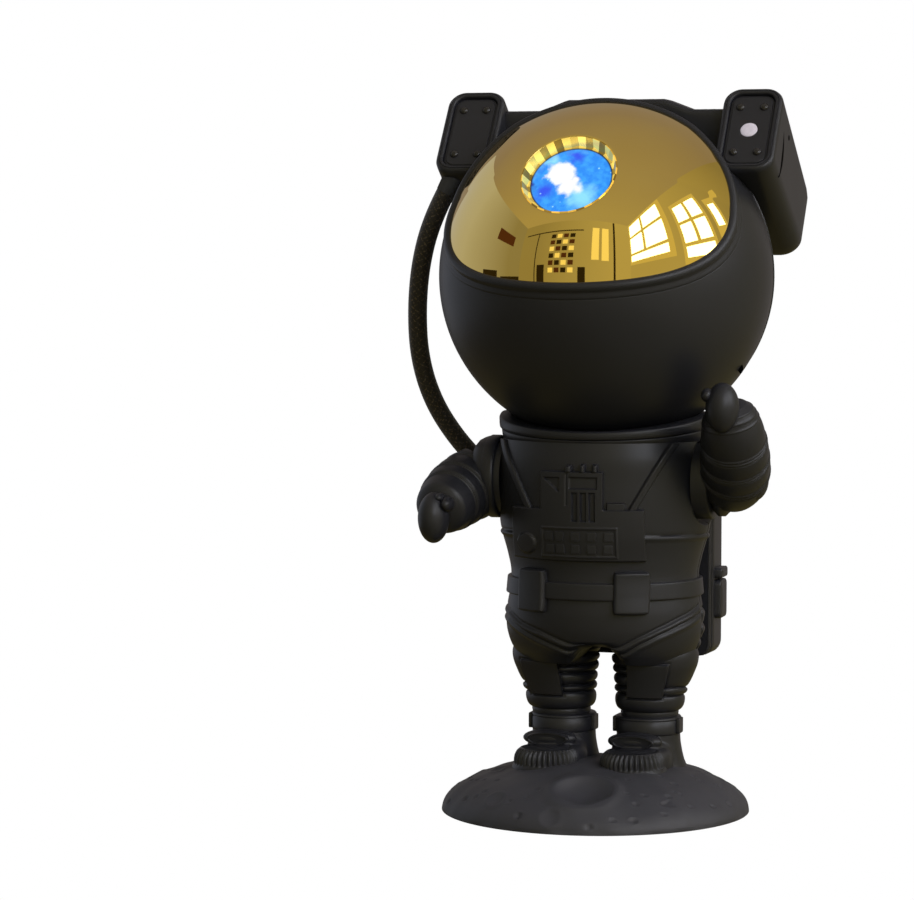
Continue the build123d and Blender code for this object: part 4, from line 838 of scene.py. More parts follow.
for side, side_name in ((-1, "right"), (1, "left")):
    leg_x, toe_x, toe_y = side * LEG_X + 0.5, side * 14.0 - 0.7, -5.0
    heel = [(0, 6.0), (12.6, 6.0), (12.4, 12.6), (11.5, 14.6), (10.8, 17.5), (10.3, 20.5), (10.1, 24.0), (0, 24.0)]
    parts = [
        ringed((leg_x, 12.2), heel),
        ringed(((leg_x + toe_x) / 2, 3.6), rounded_profile(10.2, 6.0, 19.8, 3.4)),
        ringed((toe_x, toe_y), rounded_profile(9.6, 5.0, 18.6, 2.6)),
        ringed((leg_x - 0.8, 7.2), rounded_profile(9.9, 12.0, 21.6, 3.6), stretch=(1.0, 0.9)),
        ball((leg_x - 1.9, 1.5, 21.6), (8.9, 3.7, 2.9)),
    ]
    boot = melted(f"boot_{side_name}_overshoe", parts, 0.4, 7, black_abs)
    toe = [(0, 8.0, 0), (10.9, 8.0, 0), (10.9, 13.2, 0), (10.8, 14.0, 0), (10.4, 14.5, 0), (10.3, 14.8, 0.4),
           (10.4, 15.2, 1), (10.35, 16.2, 1), (10.15, 17.2, 1), (9.8, 18.0, 1), (9.35, 18.7, 1), (8.9, 19.1, 0.9),
           (8.6, 19.3, 0.4), (8.35, 19.55, 0), (8.0, 19.7, 0), (7.6, 19.6, 0), (7.2, 19.3, 0), (6.6, 19.1, 0),
           (0, 18.9, 0)]
    cap = mesh_piece(f"toe_cap_{side_name}", [ribbed_toe((toe_x, toe_y), toe, 36, 0.75)], black_abs, 70.0)
    # the flat oval plate that faces forward, and a little down, on the instep roll
    across, out = np.array([1.0, 0.0, 0.0]), np.array([0.0, -math.cos(0.1), -math.sin(0.1)])
    up = np.cross(across, out)
    turn = np.linspace(0, 2 * np.pi, 72, endpoint=False)
    oval = 6.9 * np.cos(turn)[:, None] * across + 2.1 * np.sin(turn)[:, None] * up
    plate_rows = []
    for share, depth in ((0, -1.5), (1.0, -1.5), (1.0, 0.2), (0.97, 0.42), (0.9, 0.45), (0.86, 0.3), (0.84, -0.05),
                         (0, -0.05)):
        plate_rows.append(np.array([leg_x - 1.9, -2.0, 21.7]) + share * oval + depth * out)
    plate = mesh_piece(f"instep_plate_{side_name}", [(np.array(plate_rows), grid_faces(8, 72, True))], black_abs, 20.0)
    for piece in (boot, cap, plate):
        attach(piece, "body")
        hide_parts(f"boot_{side_name}")


# ---- ankle bands ----
# A broad flat strap in black ABS round each ankle, with a fine line under its top edge and a clasp
# on each side. It slips over the leg before the boot is glued on.
BAND_PROFILE = [(0, 23.2), (9.9, 23.2), (10.3, 23.45), (10.45, 23.9), (10.45, 27.5), (10.25, 27.7), (10.25, 27.95),
                (10.45, 28.15), (10.4, 28.5), (10.1, 28.8), (0, 28.8)]
BAND_X = {side: side * LEG_X + 0.6 for side in (-1, 1)}
bands = mesh_piece("ankle_band_pair", [ringed((BAND_X[side], FIGURE_Y), BAND_PROFILE) for side in (-1, 1)],
                   black_abs, 50.0)
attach(bands, "body")
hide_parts("ankle_bands")
spots = [(BAND_X[side] + way * 10.3, 11.0, 26.0) for side in (-1, 1) for way in (-1, 1)]
facings = [(way, 0.0, 0.0) for side in (-1, 1) for way in (-1, 1)]
tabs = grown_piece("ankle_clasps", points_with_facing("clasp_points", spots, facings), hung_blocks("ankle_clasp_blocks"),
                   {"Width": 0.0056, "Height": 0.0050, "Depth": 0.0013, "Finish": black_abs})
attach(tabs, "body")
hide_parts("ankle_bands")


# ---- shoulder discs ----
# A flat round disc in black ABS on each side, glued into the torso's flat seat, with a hole for the
# arm's axle. The arm turns against it.
def turned_on_shoulder(side, rings):
    """A turned shape on the shoulders' axis; rings is (radius, distance from the middle)."""
    rings = np.array(rings, float)
    turn = np.linspace(0, 2 * np.pi, 96, endpoint=False)[None, :]
    points = np.stack([side * rings[:, 1:] + 0 * turn, SHOULDER_Y + rings[:, :1] * np.cos(turn),
                       SHOULDER_Z + rings[:, :1] * np.sin(turn)], -1)
    return points, grid_faces(len(rings), 96, True)


DISC_RINGS = [(3.05, 31.0), (12.2, 31.0), (12.2, 35.4), (12.0, 36.0), (11.4, 36.3), (8.0, 36.3), (3.05, 36.3), (3.05, 31.0)]
for side, side_name in ((-1, "right"), (1, "left")):
    disc = mesh_piece(f"shoulder_disc_{side_name}_turned", [turned_on_shoulder(side, DISC_RINGS)], black_abs, 40.0)
    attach(disc, "body")
    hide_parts(f"shoulder_disc_{side_name}")


# ---- arms ----
# Each arm is one moulding in the form of a padded sleeve with thin double beads, and a closed mitt.
# It turns on its shoulder disc; a screw inside the torso holds it.
def curve_through(points, count):
    """A smooth line through the points, evenly read."""
    points = np.array(points, float)
    padded = np.concatenate([2 * points[:1] - points[1:2], points, 2 * points[-1:] - points[-2:-1]])
    out = []
    for i in range(1, len(padded) - 2):
        a, b, c, d = padded[i - 1:i + 3]
        t = np.linspace(0, 1, 60, endpoint=False)[:, None]
        out.append(0.5 * (2 * b + (c - a) * t + (2 * a - 5 * b + 4 * c - d) * t**2 + (3 * b - a - 3 * c + d) * t**3))
    out = np.concatenate(out + [points[-1:]])
    run = np.concatenate([[0], np.cumsum(np.linalg.norm(np.diff(out[:, :3], axis=0), axis=1))])
    even = np.linspace(0, run[-1], count)
    return np.stack([np.interp(even, run, out[:, k]) for k in range(out.shape[1])], -1), even


def sleeve(path, rings, folds):
    """A tube along (x, y, z, radius) points, with a thin double bead at each ring and small folds."""
    line, run = curve_through(path, 300)
    centre, radius = line[:, :3], line[:, 3]
    for low, high in zip([0.0] + rings, rings + [run[-1]]):
        part = np.clip((run - low) / (high - low), 0, 1)
        radius = radius + 0.35 * np.sin(np.pi * part) ** 0.8 * ((run > low) & (run <= high))
    for ring in rings:
        away = run - ring
        radius = radius + 0.4 * np.exp(-((away - 0.42) / 0.28) ** 2) + 0.4 * np.exp(-((away + 0.42) / 0.28) ** 2)
        radius = radius - 0.3 * np.exp(-((away + 1.0) / 0.28) ** 2)
    for fold in folds:
        radius = radius + 0.22 * np.exp(-((run - fold) / 0.3) ** 2)
    ends = np.minimum(run, run[-1] - run)
    radius = radius * np.sqrt(np.clip(1 - (1 - np.clip(ends / 4.0, 0, 1)) ** 2, 0.0, 1)).clip(0.02)
    ahead = np.gradient(centre, axis=0)
    ahead /= np.linalg.norm(ahead, axis=1)[:, None]
    side = np.cross(ahead, np.array([0.05, 0.1, 1.0]))
    side /= np.linalg.norm(side, axis=1)[:, None]
    other = np.cross(ahead, side)
    turn = np.linspace(0, 2 * np.pi, 120, endpoint=False)[None, :]
    points = centre[:, None, :] + radius[:, None, None] * (
        np.cos(turn)[..., None] * side[:, None, :] + np.sin(turn)[..., None] * other[:, None, :])
    first, last = np.repeat(centre[:1][:, None, :], 120, 1), np.repeat(centre[-1:][:, None, :], 120, 1)
    points = np.concatenate([first, points, last])
    return points, grid_faces(*points.shape[:2], True)


# the right sleeve overlaps its shoulder disc with a short skirt; the left one ends beside the disc
SKIRTED_ROOT = [(0, 36.8), (12.5, 36.8), (12.5, 33.4), (12.8, 33.0), (13.1, 33.2), (13.3, 34.0), (13.3, 36.4), (13.0, 36.9),
                (12.9, 37.4), (12.6, 38.4), (11.8, 40.0), (10.6, 41.0), (0, 41.0)]
PLAIN_ROOT = [(0, 36.8), (10.0, 36.8), (11.2, 38.0), (11.2, 39.8), (10.0, 41.0), (0, 41.0)]
# side, the sleeve's path and radius, distances along it of the beads and the folds, its root, and
# the middles and half sizes of the balls that make the mitt, the thumb and the elbow
ARMS = {
    "right": (-1, [(-38.0, 9.0, 103.8, 10.9), (-41.4, 7.5, 102.4, 11.1), (-44.5, 1.5, 100.2, 10.8),
                   (-46.2, -6.0, 97.6, 9.9), (-47.2, -13.0, 95.4, 8.2), (-47.6, -16.2, 94.4, 7.2)],
              [7.5, 14.5, 20.5], [], SKIRTED_ROOT,
              [((-47.6, -19.6, 93.0), (4.9, 6.2, 8.0)), ((-42.9, -20.0, 97.4), (2.0, 4.0, 2.4)),
               ((-45.3, -20.0, 99.4), (1.6, 3.2, 1.5))]),
    "left": (1, [(38.5, 9.0, 104.6, 10.8), (41.2, 8.0, 105.4, 10.9), (44.0, 2.5, 107.8, 10.7),
                 (45.4, -4.0, 113.2, 10.4), (46.0, -10.0, 119.6, 9.8), (45.8, -13.4, 125.2, 8.4),
                 (45.2, -15.8, 131.0, 5.8)],
             [11.5, 18.0, 25.0], [33.5, 35.1, 36.7, 38.3], PLAIN_ROOT,
             [((44.8, -20.6, 128.9), (5.2, 6.0, 7.8)), ((40.5, -22.0, 132.8), (2.0, 3.5, 2.2)),
              ((49.6, 3.5, 105.4), (4.9, 6.2, 6.8))]),
}
for side_name, (side, path, rings, folds, root, balls) in ARMS.items():
    parts = [sleeve(path, rings, folds), turned_on_shoulder(side, root)] + [ball(*sizes) for sizes in balls]
    arm = mesh_piece(f"arm_{side_name}_sleeve", parts, black_abs, 60.0)
    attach(arm, f"{side_name}_arm")
    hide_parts(f"arm_{side_name}")


# ---- helmet ----
# A ball of two moulded shells that meet on a plane leaning back at the bottom. Points are placed
# by their angle from the lens axis, so the shells end cleanly at the visor's curved edge.
HEAD = np.array([0.0, FIGURE_Y, head_z])
HEAD_R, HELMET_WALL = 53.0, 2.5
LENS_TILT, LENS_TURN = math.radians(38.4), math.radians(2.8)
OUT_OF_LENS = np.array([-math.cos(LENS_TILT) * math.sin(LENS_TURN), -math.cos(LENS_TILT) * math.cos(LENS_TURN),
                        math.sin(LENS_TILT)])
ACROSS_LENS = np.array([math.cos(LENS_TURN), -math.sin(LENS_TURN), 0.0])
UP_THE_LENS = np.cross(OUT_OF_LENS, ACROSS_LENS)
# the visor's edge in the side view: y and z from the head's centre, as shares of its radius
VISOR_EDGE = np.array([(-0.066, 1.075), (-0.132, 0.896), (-0.236, 0.651), (-0.368, 0.396), (-0.547, 0.198),
                       (-0.755, 0.060), (-0.943, -0.019), (-1.132, -0.066)])
# the same edge as one curve, read along the diagonal that it runs round
EDGE_CURVE = np.polyfit(VISOR_EDGE.sum(1) / math.sqrt(2), (VISOR_EDGE[:, 1] - VISOR_EDGE[:, 0]) / math.sqrt(2), 5)
round_turn = np.linspace(0, 2 * np.pi, 320, endpoint=False)


def on_head(from_axis, turn, radius):
    """A point at an angle from the lens axis and a turn about it."""
    flat = np.sin(from_axis)[..., None] * (np.cos(turn)[..., None] * ACROSS_LENS
                                           + np.sin(turn)[..., None] * UP_THE_LENS)
    return HEAD + np.asarray(radius)[..., None] * (np.cos(from_axis)[..., None] * OUT_OF_LENS + flat)


def past_edge(outwards, turn):
    """The angle from the lens axis at which the head passes the visor's edge by a distance in mm."""
    low, high = np.full_like(turn, 0.35), np.full_like(turn, 2.4)
    for _ in range(40):
        guess = (low + high) / 2
        spot = (on_head(guess, turn, np.ones_like(turn)) - HEAD)
        along, out = (spot[..., 1] + spot[..., 2]) / math.sqrt(2), (spot[..., 2] - spot[..., 1]) / math.sqrt(2)
        slope = np.polyval(np.polyder(EDGE_CURVE), along)
        inside = (out - np.polyval(EDGE_CURVE, along)) / np.sqrt(1 + slope**2) * HEAD_R > -outwards
        low, high = np.where(inside, guess, low), np.where(inside, high, guess)
    return (low + high) / 2


def past_seam(turn):
    """The angle from the lens axis at which the head meets the seam plane, which leans back by 11 degrees."""
    normal = np.array([0.0, math.cos(math.radians(11)), math.sin(math.radians(11))])
    level = 4.5 * normal[1] + 25.0 * normal[2]
    low, high = np.full_like(turn, 0.3), np.full_like(turn, np.pi)
    for _ in range(40):
        guess = (low + high) / 2
        inside = (on_head(guess, turn, np.full_like(turn, HEAD_R)) - HEAD) @ normal < level
        low, high = np.where(inside, guess, low), np.where(inside, high, guess)
    return (low + high) / 2


rim_end = past_edge(4.4, round_turn)
seam_at = np.maximum(past_seam(round_turn), rim_end + 0.5 / HEAD_R)
HALF_SEAM = 0.12 / HEAD_R
shares = np.concatenate([[0, 0.002, 0.006, 0.012, 0.02], np.linspace(0.03, 0.97, 80), np.linspace(0.975, 1, 12)])


def shell_grid(start, end, radius, edge_drop, lip=0.0):
    """Rows between two boundaries of the helmet, its edges eased down, with a raised lip at the end."""
    rows = start[None, :] + shares[:, None] * (end - start)[None, :]
    near = np.minimum(rows - start[None, :], end[None, :] - rows) * HEAD_R
    drop = edge_drop * np.clip(1 - near / 0.35, 0, 1) ** 2
    drop = drop - lip * np.clip(1.6 - (end[None, :] - rows) * HEAD_R / 0.6, 0, 1)
    return on_head(rows, round_turn[None, :] + 0 * rows, radius - drop)


front = solid_between(shell_grid(rim_end, seam_at - HALF_SEAM, HEAD_R, 0.25, 0.4),
                      shell_grid(rim_end, seam_at - HALF_SEAM, HEAD_R - HELMET_WALL, 0.0), True)
front_shell = mesh_piece("helmet_front_ball", [front], black_abs, 60.0)
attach(front_shell, "head")
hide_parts("helmet_front_shell")
far = np.full_like(round_turn, np.pi)
back = solid_between(shell_grid(seam_at + HALF_SEAM, far, HEAD_R, 0.4),
                     shell_grid(seam_at + HALF_SEAM, far, HEAD_R - HELMET_WALL, 0.0), True, (True, False))
back_shell = mesh_piece("helmet_back_ball", [back], black_abs, 60.0)
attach(back_shell, "head")
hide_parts("helmet_back_shell")


# ---- helmet latch slot ----
# A small slot at the lower end of the seam on the figure's left, for the latch of the back shell.
# Its matt black stands for the unlit inside.
# near-black with almost no shine: painted shade for holes whose insides are unlit
painted_shade_black = moulded_abs("shadowed_black_abs", "#020202", 0.9, 0.5, 0.00001, 0.02)
latch_slot = mesh_piece("helmet_latch_slot", [ball((44.5, 8.3, 139.9), (0.8, 0.9, 1.6))], painted_shade_black, 60.0)
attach(latch_slot, "head")
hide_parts("helmet_front_shell")


# ---- visor rim ----
# A rolled frame in black ABS that holds the visor's edge, moulded with a soft step outside its roll
# and pressed into the front shell's opening.

# distance outwards from the visor's edge, and height over the helmet's ball
RIM_PROFILE = [(-0.5, -2.3), (-0.5, -0.7), (-0.38, 0.1), (-0.1, 0.65), (0.35, 1.05), (0.9, 1.22), (1.5, 1.2), (2.0, 0.98),
               (2.4, 0.62), (2.65, 0.34), (3.0, 0.26), (3.7, 0.27), (4.3, 0.27), (4.6, 0.18), (4.8, -0.02), (4.9, -0.6),
               (4.6, -2.3)]
at_top = np.clip(1.6 * np.sin(round_turn) - 0.2, 0, 1)       # the rim is narrower and higher over the top
rim_rows = []
for outwards, height in RIM_PROFILE:
    from_axis = past_edge(outwards + 1.3 * at_top * (1 - (outwards + 0.5) / 5.4), round_turn)
    lifted = 2.0 * at_top * (height > -2) * (1 - np.clip((outwards - 1.0) / 3.9, 0, 1))
    rim_rows.append(on_head(from_axis, round_turn, HEAD_R + height + lifted))
rim_rows = np.array(rim_rows + rim_rows[:1])
rim = mesh_piece("visor_rolled_rim", [(rim_rows, grid_faces(*rim_rows.shape[:2], True))], black_abs, 80.0)
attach(rim, "head")
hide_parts("visor_rim")


# ---- visor ----
# A moulded bowl with a gold metal coating under its lacquer: a nearly perfect warm mirror. The rim
# holds its edge, and a round hole in it takes the lens ring.
def gold_mirror(name, dark_code, light_code):
    """Vacuum-coated gold: mirror-smooth, with the faintest orange-peel waviness, about 17 mm across."""
    material, tree, output = finish_called(name)
    place = add(tree, "ShaderNodeTexCoord")
    wave = add(tree, "ShaderNodeTexNoise", {"Vector": place.outputs["Object"], "Scale": 60.0, "Detail": 1.0})
    relief = add(tree, "ShaderNodeBump", {"Height": wave.outputs["Fac"], "Distance": 0.00002, "Strength": 0.25})
    tone = add(tree, "ShaderNodeMix", {6: colour(dark_code), 7: colour(light_code), "Factor": wave.outputs["Fac"]},
               data_type="RGBA")
    shader = add(tree, "ShaderNodeBsdfPrincipled", {
        "Base Color": tone.outputs[2], "Metallic": 1.0, "Roughness": 0.025, "Normal": relief.outputs["Normal"]})
    tree.links.new(shader.outputs["BSDF"], output.inputs["Surface"])
    return material


gold = gold_mirror("gold_coated_mirror", "#f6d67c", "#fadd88")
BEZEL_R = 15.0
opening = np.full_like(round_turn, math.asin((BEZEL_R + 0.15) / HEAD_R))
under_rim = past_edge(0.8 + 1.2 * at_top, round_turn)
fine = np.concatenate([[0, 0.003, 0.008, 0.015], np.linspace(0.03, 1, 70)])
rows = opening[None, :] + fine[:, None] * (under_rim - opening)[None, :]
ease = 0.35 * np.clip(1 - (rows - opening[None, :]) * HEAD_R / 0.5, 0, 1) ** 2
# the bowl is fuller over the top
crown = 2.2 * at_top[None, :] * ((rows - opening[None, :]) / (under_rim - opening)[None, :]) ** 1.5
visor_outer = on_head(rows, round_turn[None, :] + 0 * rows, HEAD_R - ease + crown)
visor_inner = on_head(rows, round_turn[None, :] + 0 * rows, HEAD_R - 1.6 + crown)
visor = mesh_piece("visor_gold_bowl", [solid_between(visor_outer, visor_inner, True)], gold, 60.0)
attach(visor, "head")
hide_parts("visor")


# ---- lens bezel ----
# A gold ring that lines the hole in the visor and steps down to the lens, with thirty-six facets round its sloping
# wall, turned one way and the other. Each facet has a painted reflection tone and a faint painted glow.
def on_lens(points):
    """From the lens's own frame (x, up the visor, out along the axis) to the object's, in mm."""
    points = np.asarray(points, float)
    return HEAD + points[..., :1] * ACROSS_LENS + points[..., 1:2] * UP_THE_LENS + points[..., 2:] * OUT_OF_LENS


def gold_with_painted_reflections(name):
    """Gold plate with painted reflections: each facet has its own painted tone for what it reflects, and a faint
    painted glow in that tone.
    """
    material, tree, output = finish_called(name)
    facet_painted_reflection = add(tree, "ShaderNodeAttribute", attribute_name="facet_painted_reflection")
    tone = add(tree, "ShaderNodeMix", {6: colour("#5a4215"), 7: colour("#ffe070"), "Factor": facet_painted_reflection.outputs["Fac"]},
               data_type="RGBA")
    # the faint glow in each facet's tone is painted light: the ring is no lamp
    shader = add(tree, "ShaderNodeBsdfPrincipled", {
        "Base Color": tone.outputs[2], "Metallic": 1.0, "Roughness": 0.2, "Emission Color": tone.outputs[2],
        "Emission Strength": 0.6})
    tree.links.new(shader.outputs["BSDF"], output.inputs["Surface"])
    return material


# radius, distance out, and how far every other corner of the ring stands back
RING_PROFILE = [(15.05, 45.4, 0), (15.05, 50.5, 0), (14.95, 50.72, 0), (14.8, 50.75, -0.06), (13.35, 47.6, 0.42),
                (13.05, 47.5, 0), (13.05, 45.4, 0), (15.05, 45.4, 0)]
FACETS = 36
# painted reflection tones of the facets, in turn round the ring, from dark bronze to bright gold
FACET_PAINTED_REFLECTIONS = (0.9, 0.3, 1.0, 0.55, 0.8, 0.15)
way = np.arange(FACETS) * 2 * np.pi / FACETS
facet_rows = []
for radius, out, back in RING_PROFILE:
    radius = radius + back * (np.arange(FACETS) % 2)
    facet_rows.append(np.stack([radius * np.cos(way), radius * np.sin(way), out + 0 * way], -1))
ring = mesh_piece("bezel_ring", [(on_lens(np.array(facet_rows)), grid_faces(len(RING_PROFILE), FACETS, True))],
                  gold_with_painted_reflections("gold_ring_painted_reflections"), 1.0)
painted_reflection_tones = []
for face in ring.data.polygons:
    from_head = np.array(face.center) * 1000 - HEAD
    place_round = math.atan2(from_head @ UP_THE_LENS, from_head @ ACROSS_LENS) / (2 * np.pi) * FACETS
    painted_reflection_tones.append(FACET_PAINTED_REFLECTIONS[math.floor(place_round) % 6])
ring.data.attributes.new("facet_painted_reflection", "FLOAT", "FACE").data.foreach_set("value", painted_reflection_tones)
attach(ring, "head")
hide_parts("lens_bezel")


# ---- nebula lens ----
# A slightly domed acrylic lens, lit from behind: the blue nebula disc shows through it as soft
# cloud with a few bright stars.
def turned_on_lens(profile):
    """A turned shape about the lens axis; profile is (radius, distance out)."""
    profile = np.array(profile, float)
    turn = np.linspace(0, 2 * np.pi, 192, endpoint=False)[None, :]
    points = np.stack([profile[:, :1] * np.cos(turn), profile[:, :1] * np.sin(turn), profile[:, 1:] + 0 * turn], -1)
    return on_lens(points), grid_faces(len(profile), 192, True)


def lit_acrylic():
    """Clear acrylic with a lit cloud behind it: blues, a white drift left of the middle, few stars, and a painted
    reflection of the ring along the upper-left edge.
    """
    material, tree, output = finish_called("lit_acrylic_lens")
    place = add(tree, "ShaderNodeAttribute", attribute_name="across_lens")
    ripple = add(tree, "ShaderNodeTexNoise", {"Vector": place.outputs["Vector"], "Scale": 3.2, "Detail": 4.0})
    centred = add(tree, "ShaderNodeVectorMath", {0: ripple.outputs["Color"], 1: (0.5, 0.5, 0.5)}, operation="SUBTRACT")
    moved = add(tree, "ShaderNodeVectorMath", {
        0: centred.outputs["Vector"], 1: (0.55, 0.55, 0.0), 2: place.outputs["Vector"]}, operation="MULTIPLY_ADD")

    def spot(x, y, inner, outer):
        """One on a spot of the lens, falling to nought at the outer radius."""
        away = add(tree, "ShaderNodeVectorMath", {0: moved.outputs["Vector"], 1: (x, y, 0.0)}, operation="DISTANCE")
        return add(tree, "ShaderNodeMapRange", {
            "Value": away.outputs["Value"], "From Min": inner, "From Max": outer, "To Min": 1.0, "To Max": 0.0},
            interpolation_type="SMOOTHSTEP").outputs["Result"]

    def painted(under, code, amount):
        """The colour laid over what is under it."""
        return add(tree, "ShaderNodeMix", {6: under, 7: colour(code), "Factor": amount}, data_type="RGBA").outputs[2]

    def either(a, b):
        """The larger of two amounts."""
        return add(tree, "ShaderNodeMath", {0: a, 1: b}, operation="MAXIMUM").outputs[0]

    wisps = add(tree, "ShaderNodeTexNoise", {"Vector": place.outputs["Vector"], "Scale": 5.0, "Detail": 4.0})
    veil = add(tree, "ShaderNodeMapRange", {"Value": wisps.outputs["Fac"], "From Min": 0.42, "From Max": 0.62})
    tone = painted(colour("#1f8cf6"), "#36a6ff", veil.outputs["Result"])
    tone = painted(tone, "#2a50f0", either(spot(0.0, 0.72, 0.02, 0.28), spot(-0.62, -0.35, 0.05, 0.35)))
    tone = painted(tone, "#1a2f9c", spot(-1.0, -0.1, 0.0, 0.22))
    # light cyan: a glow low on the right of the nebula, and a painted reflection of the ring along the upper-left edge
    tone = painted(tone, "#8fe2ff", either(spot(0.34, -0.5, 0.1, 0.5), spot(-0.55, 0.62, 0.0, 0.3)))
    cloud = either(either(spot(-0.27, 0.2, 0.26, 0.42), spot(-0.02, -0.16, 0.16, 0.34)), spot(0.2, -0.26, 0.02, 0.24))
    tone = painted(tone, "#ffffff", cloud)
    stars = add(tree, "ShaderNodeTexVoronoi", {"Vector": place.outputs["Vector"], "Scale": 3.1})
    star = add(tree, "ShaderNodeMapRange", {"Value": stars.outputs["Distance"], "From Min": 0.03, "From Max": 0.11,
                                            "To Min": 0.85, "To Max": 0.0}, interpolation_type="SMOOTHSTEP")
    tone = painted(tone, "#a8ecff", star.outputs["Result"])
    reach = add(tree, "ShaderNodeVectorMath", {0: place.outputs["Vector"]}, operation="LENGTH")
    border = add(tree, "ShaderNodeMapRange", {"Value": reach.outputs["Value"], "From Min": 0.95, "From Max": 0.985})
    tone = painted(tone, "#141c26", border.outputs["Result"])
    shader = add(tree, "ShaderNodeBsdfPrincipled", {
        "Base Color": (0.01, 0.02, 0.05, 1.0), "Roughness": 0.08, "Emission Color": tone, "Emission Strength": 1.0})
    tree.links.new(shader.outputs["BSDF"], output.inputs["Surface"])
    return material


LENS_ROWS = [(13.02 * s, 47.2 + 0.8 * (1 - s * s)) for s in np.linspace(0, 1, 26)] + [(13.02, 45.2), (0.0, 45.2)]
lens = mesh_piece("nebula_lens_dome", [turned_on_lens(LENS_ROWS)], lit_acrylic(), 40.0)
spots = np.array([vertex.co for vertex in lens.data.vertices]) * 1000 - HEAD
on_plane = np.column_stack([spots @ ACROSS_LENS / 13, spots @ UP_THE_LENS / 13, 0 * spots[:, 0]])
lens.data.attributes.new("across_lens", "FLOAT_VECTOR", "POINT").data.foreach_set("vector", on_plane.ravel())
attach(lens, "head")
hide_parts("nebula_lens")


# ---- ear pods ----
# A long tapered housing in black ABS on each side of the helmet, with a raised lip round its sunk
# face plate. The left one holds the star laser.
POD_LEAN = math.radians(38.0)
POD_FACE = np.array([45.8, 15.8, 215.25])
POD_SHIFT = {1: -0.8, -1: 0.3}       # outwards
OUT_OF_POD = np.array([0.0, -math.cos(POD_LEAN), math.sin(POD_LEAN)])
UP_THE_POD = np.array([0.0, math.sin(POD_LEAN), math.cos(POD_LEAN)])


def on_pod(points, side):
    """From a pod face's own frame to the object's, mirrored for the figure's right side."""
    points = np.asarray(points, float)
    spot = (POD_FACE + (points[..., :1] + POD_SHIFT[side]) * np.array([1.0, 0, 0]) + points[..., 1:2] * UP_THE_POD
            + points[..., 2:] * OUT_OF_POD)
    return spot * np.array([side, 1.0, 1.0])


def rounded_loop(width, height, corner, count=112):
    """A rounded rectangle's outline, evenly spaced."""
    corner = min(corner, width / 2 - 0.01, height / 2 - 0.01)
    corners = [(width / 2 - corner, height / 2 - corner, 0), (-width / 2 + corner, height / 2 - corner, 90),
               (-width / 2 + corner, -height / 2 + corner, 180), (width / 2 - corner, -height / 2 + corner, 270)]
    dense = []
    for x, y, start in corners:
        for step in np.radians(np.linspace(start, start + 90, 24)):
            dense.append((x + corner * math.cos(step), y + corner * math.sin(step)))
    dense = np.array(dense + dense[:1])
    run = np.concatenate([[0], np.cumsum(np.linalg.norm(np.diff(dense, axis=0), axis=1))])
    even = np.linspace(0, run[-1], count, endpoint=False)
    return np.stack([np.interp(even, run, dense[:, k]) for k in (0, 1)], -1)


def stacked_loops(rows, count=112):
    """Rounded rectangles one above another: width, height, corner, distance out, and shift of the middle."""
    grid = []
    for width, height, corner, out, shift in rows:
        loop = rounded_loop(width, height, corner, count)
        grid.append(np.column_stack([loop[:, 0], loop[:, 1] + shift, np.full(count, out)]))
    return np.array(grid)


# the lip and the tapering side: width, height, corner, distance out, and shift of the middle
POD_ROWS = [
    (13.6, 27.4, 3.2, -3.0, 0), (14.3, 28.5, 3.6, -3.0, 0), (14.3, 28.5, 3.6, -0.9, 0), (14.5, 28.7, 3.7, -0.35, 0),
    (15.0, 29.2, 3.9, -0.1, 0), (15.8, 30.0, 4.3, 0.0, 0), (16.3, 30.5, 4.6, -0.02, 0), (16.45, 30.65, 4.7, -0.25, 0),
    (16.7, 30.9, 4.8, -0.28, 0), (17.0, 31.2, 4.9, -0.1, 0), (17.8, 32.0, 5.1, -0.2, 0), (18.6, 32.8, 5.5, -0.7, 0),
    (19.1, 33.4, 5.7, -1.4, 0), (19.2, 33.5, 5.8, -2.4, 0)]
for depth in range(-6, -48, -4):
    share = (-depth - 2.4) / 48.6
    POD_ROWS.append((19.2 + 2.6 * share, 33.5 - 5.4 * share, 5.8, depth, 2.6 * share))
POD_ROWS += [(21.3, 28.2, 6.2, -49.0, 2.5), (20.4, 27.2, 6.4, -51.0, 2.5), (18.4, 25.2, 6.2, -52.3, 2.5),
             (14.6, 21.4, 5.4, -53.0, 2.5), (0.02, 0.02, 0.005, -53.0, 2.5)]
PLATE_ROWS = [(14.0, 28.0, 3.4, -2.8, 0), (14.0, 28.0, 3.4, -1.35, 0), (13.7, 27.7, 3.3, -1.2, 0),
              (12.9, 26.9, 3.0, -1.2, 0), (12.7, 26.7, 2.9, -1.0, 0), (12.4, 26.4, 2.75, -0.9, 0),
              (12.1, 26.1, 2.65, -0.9, 0)]
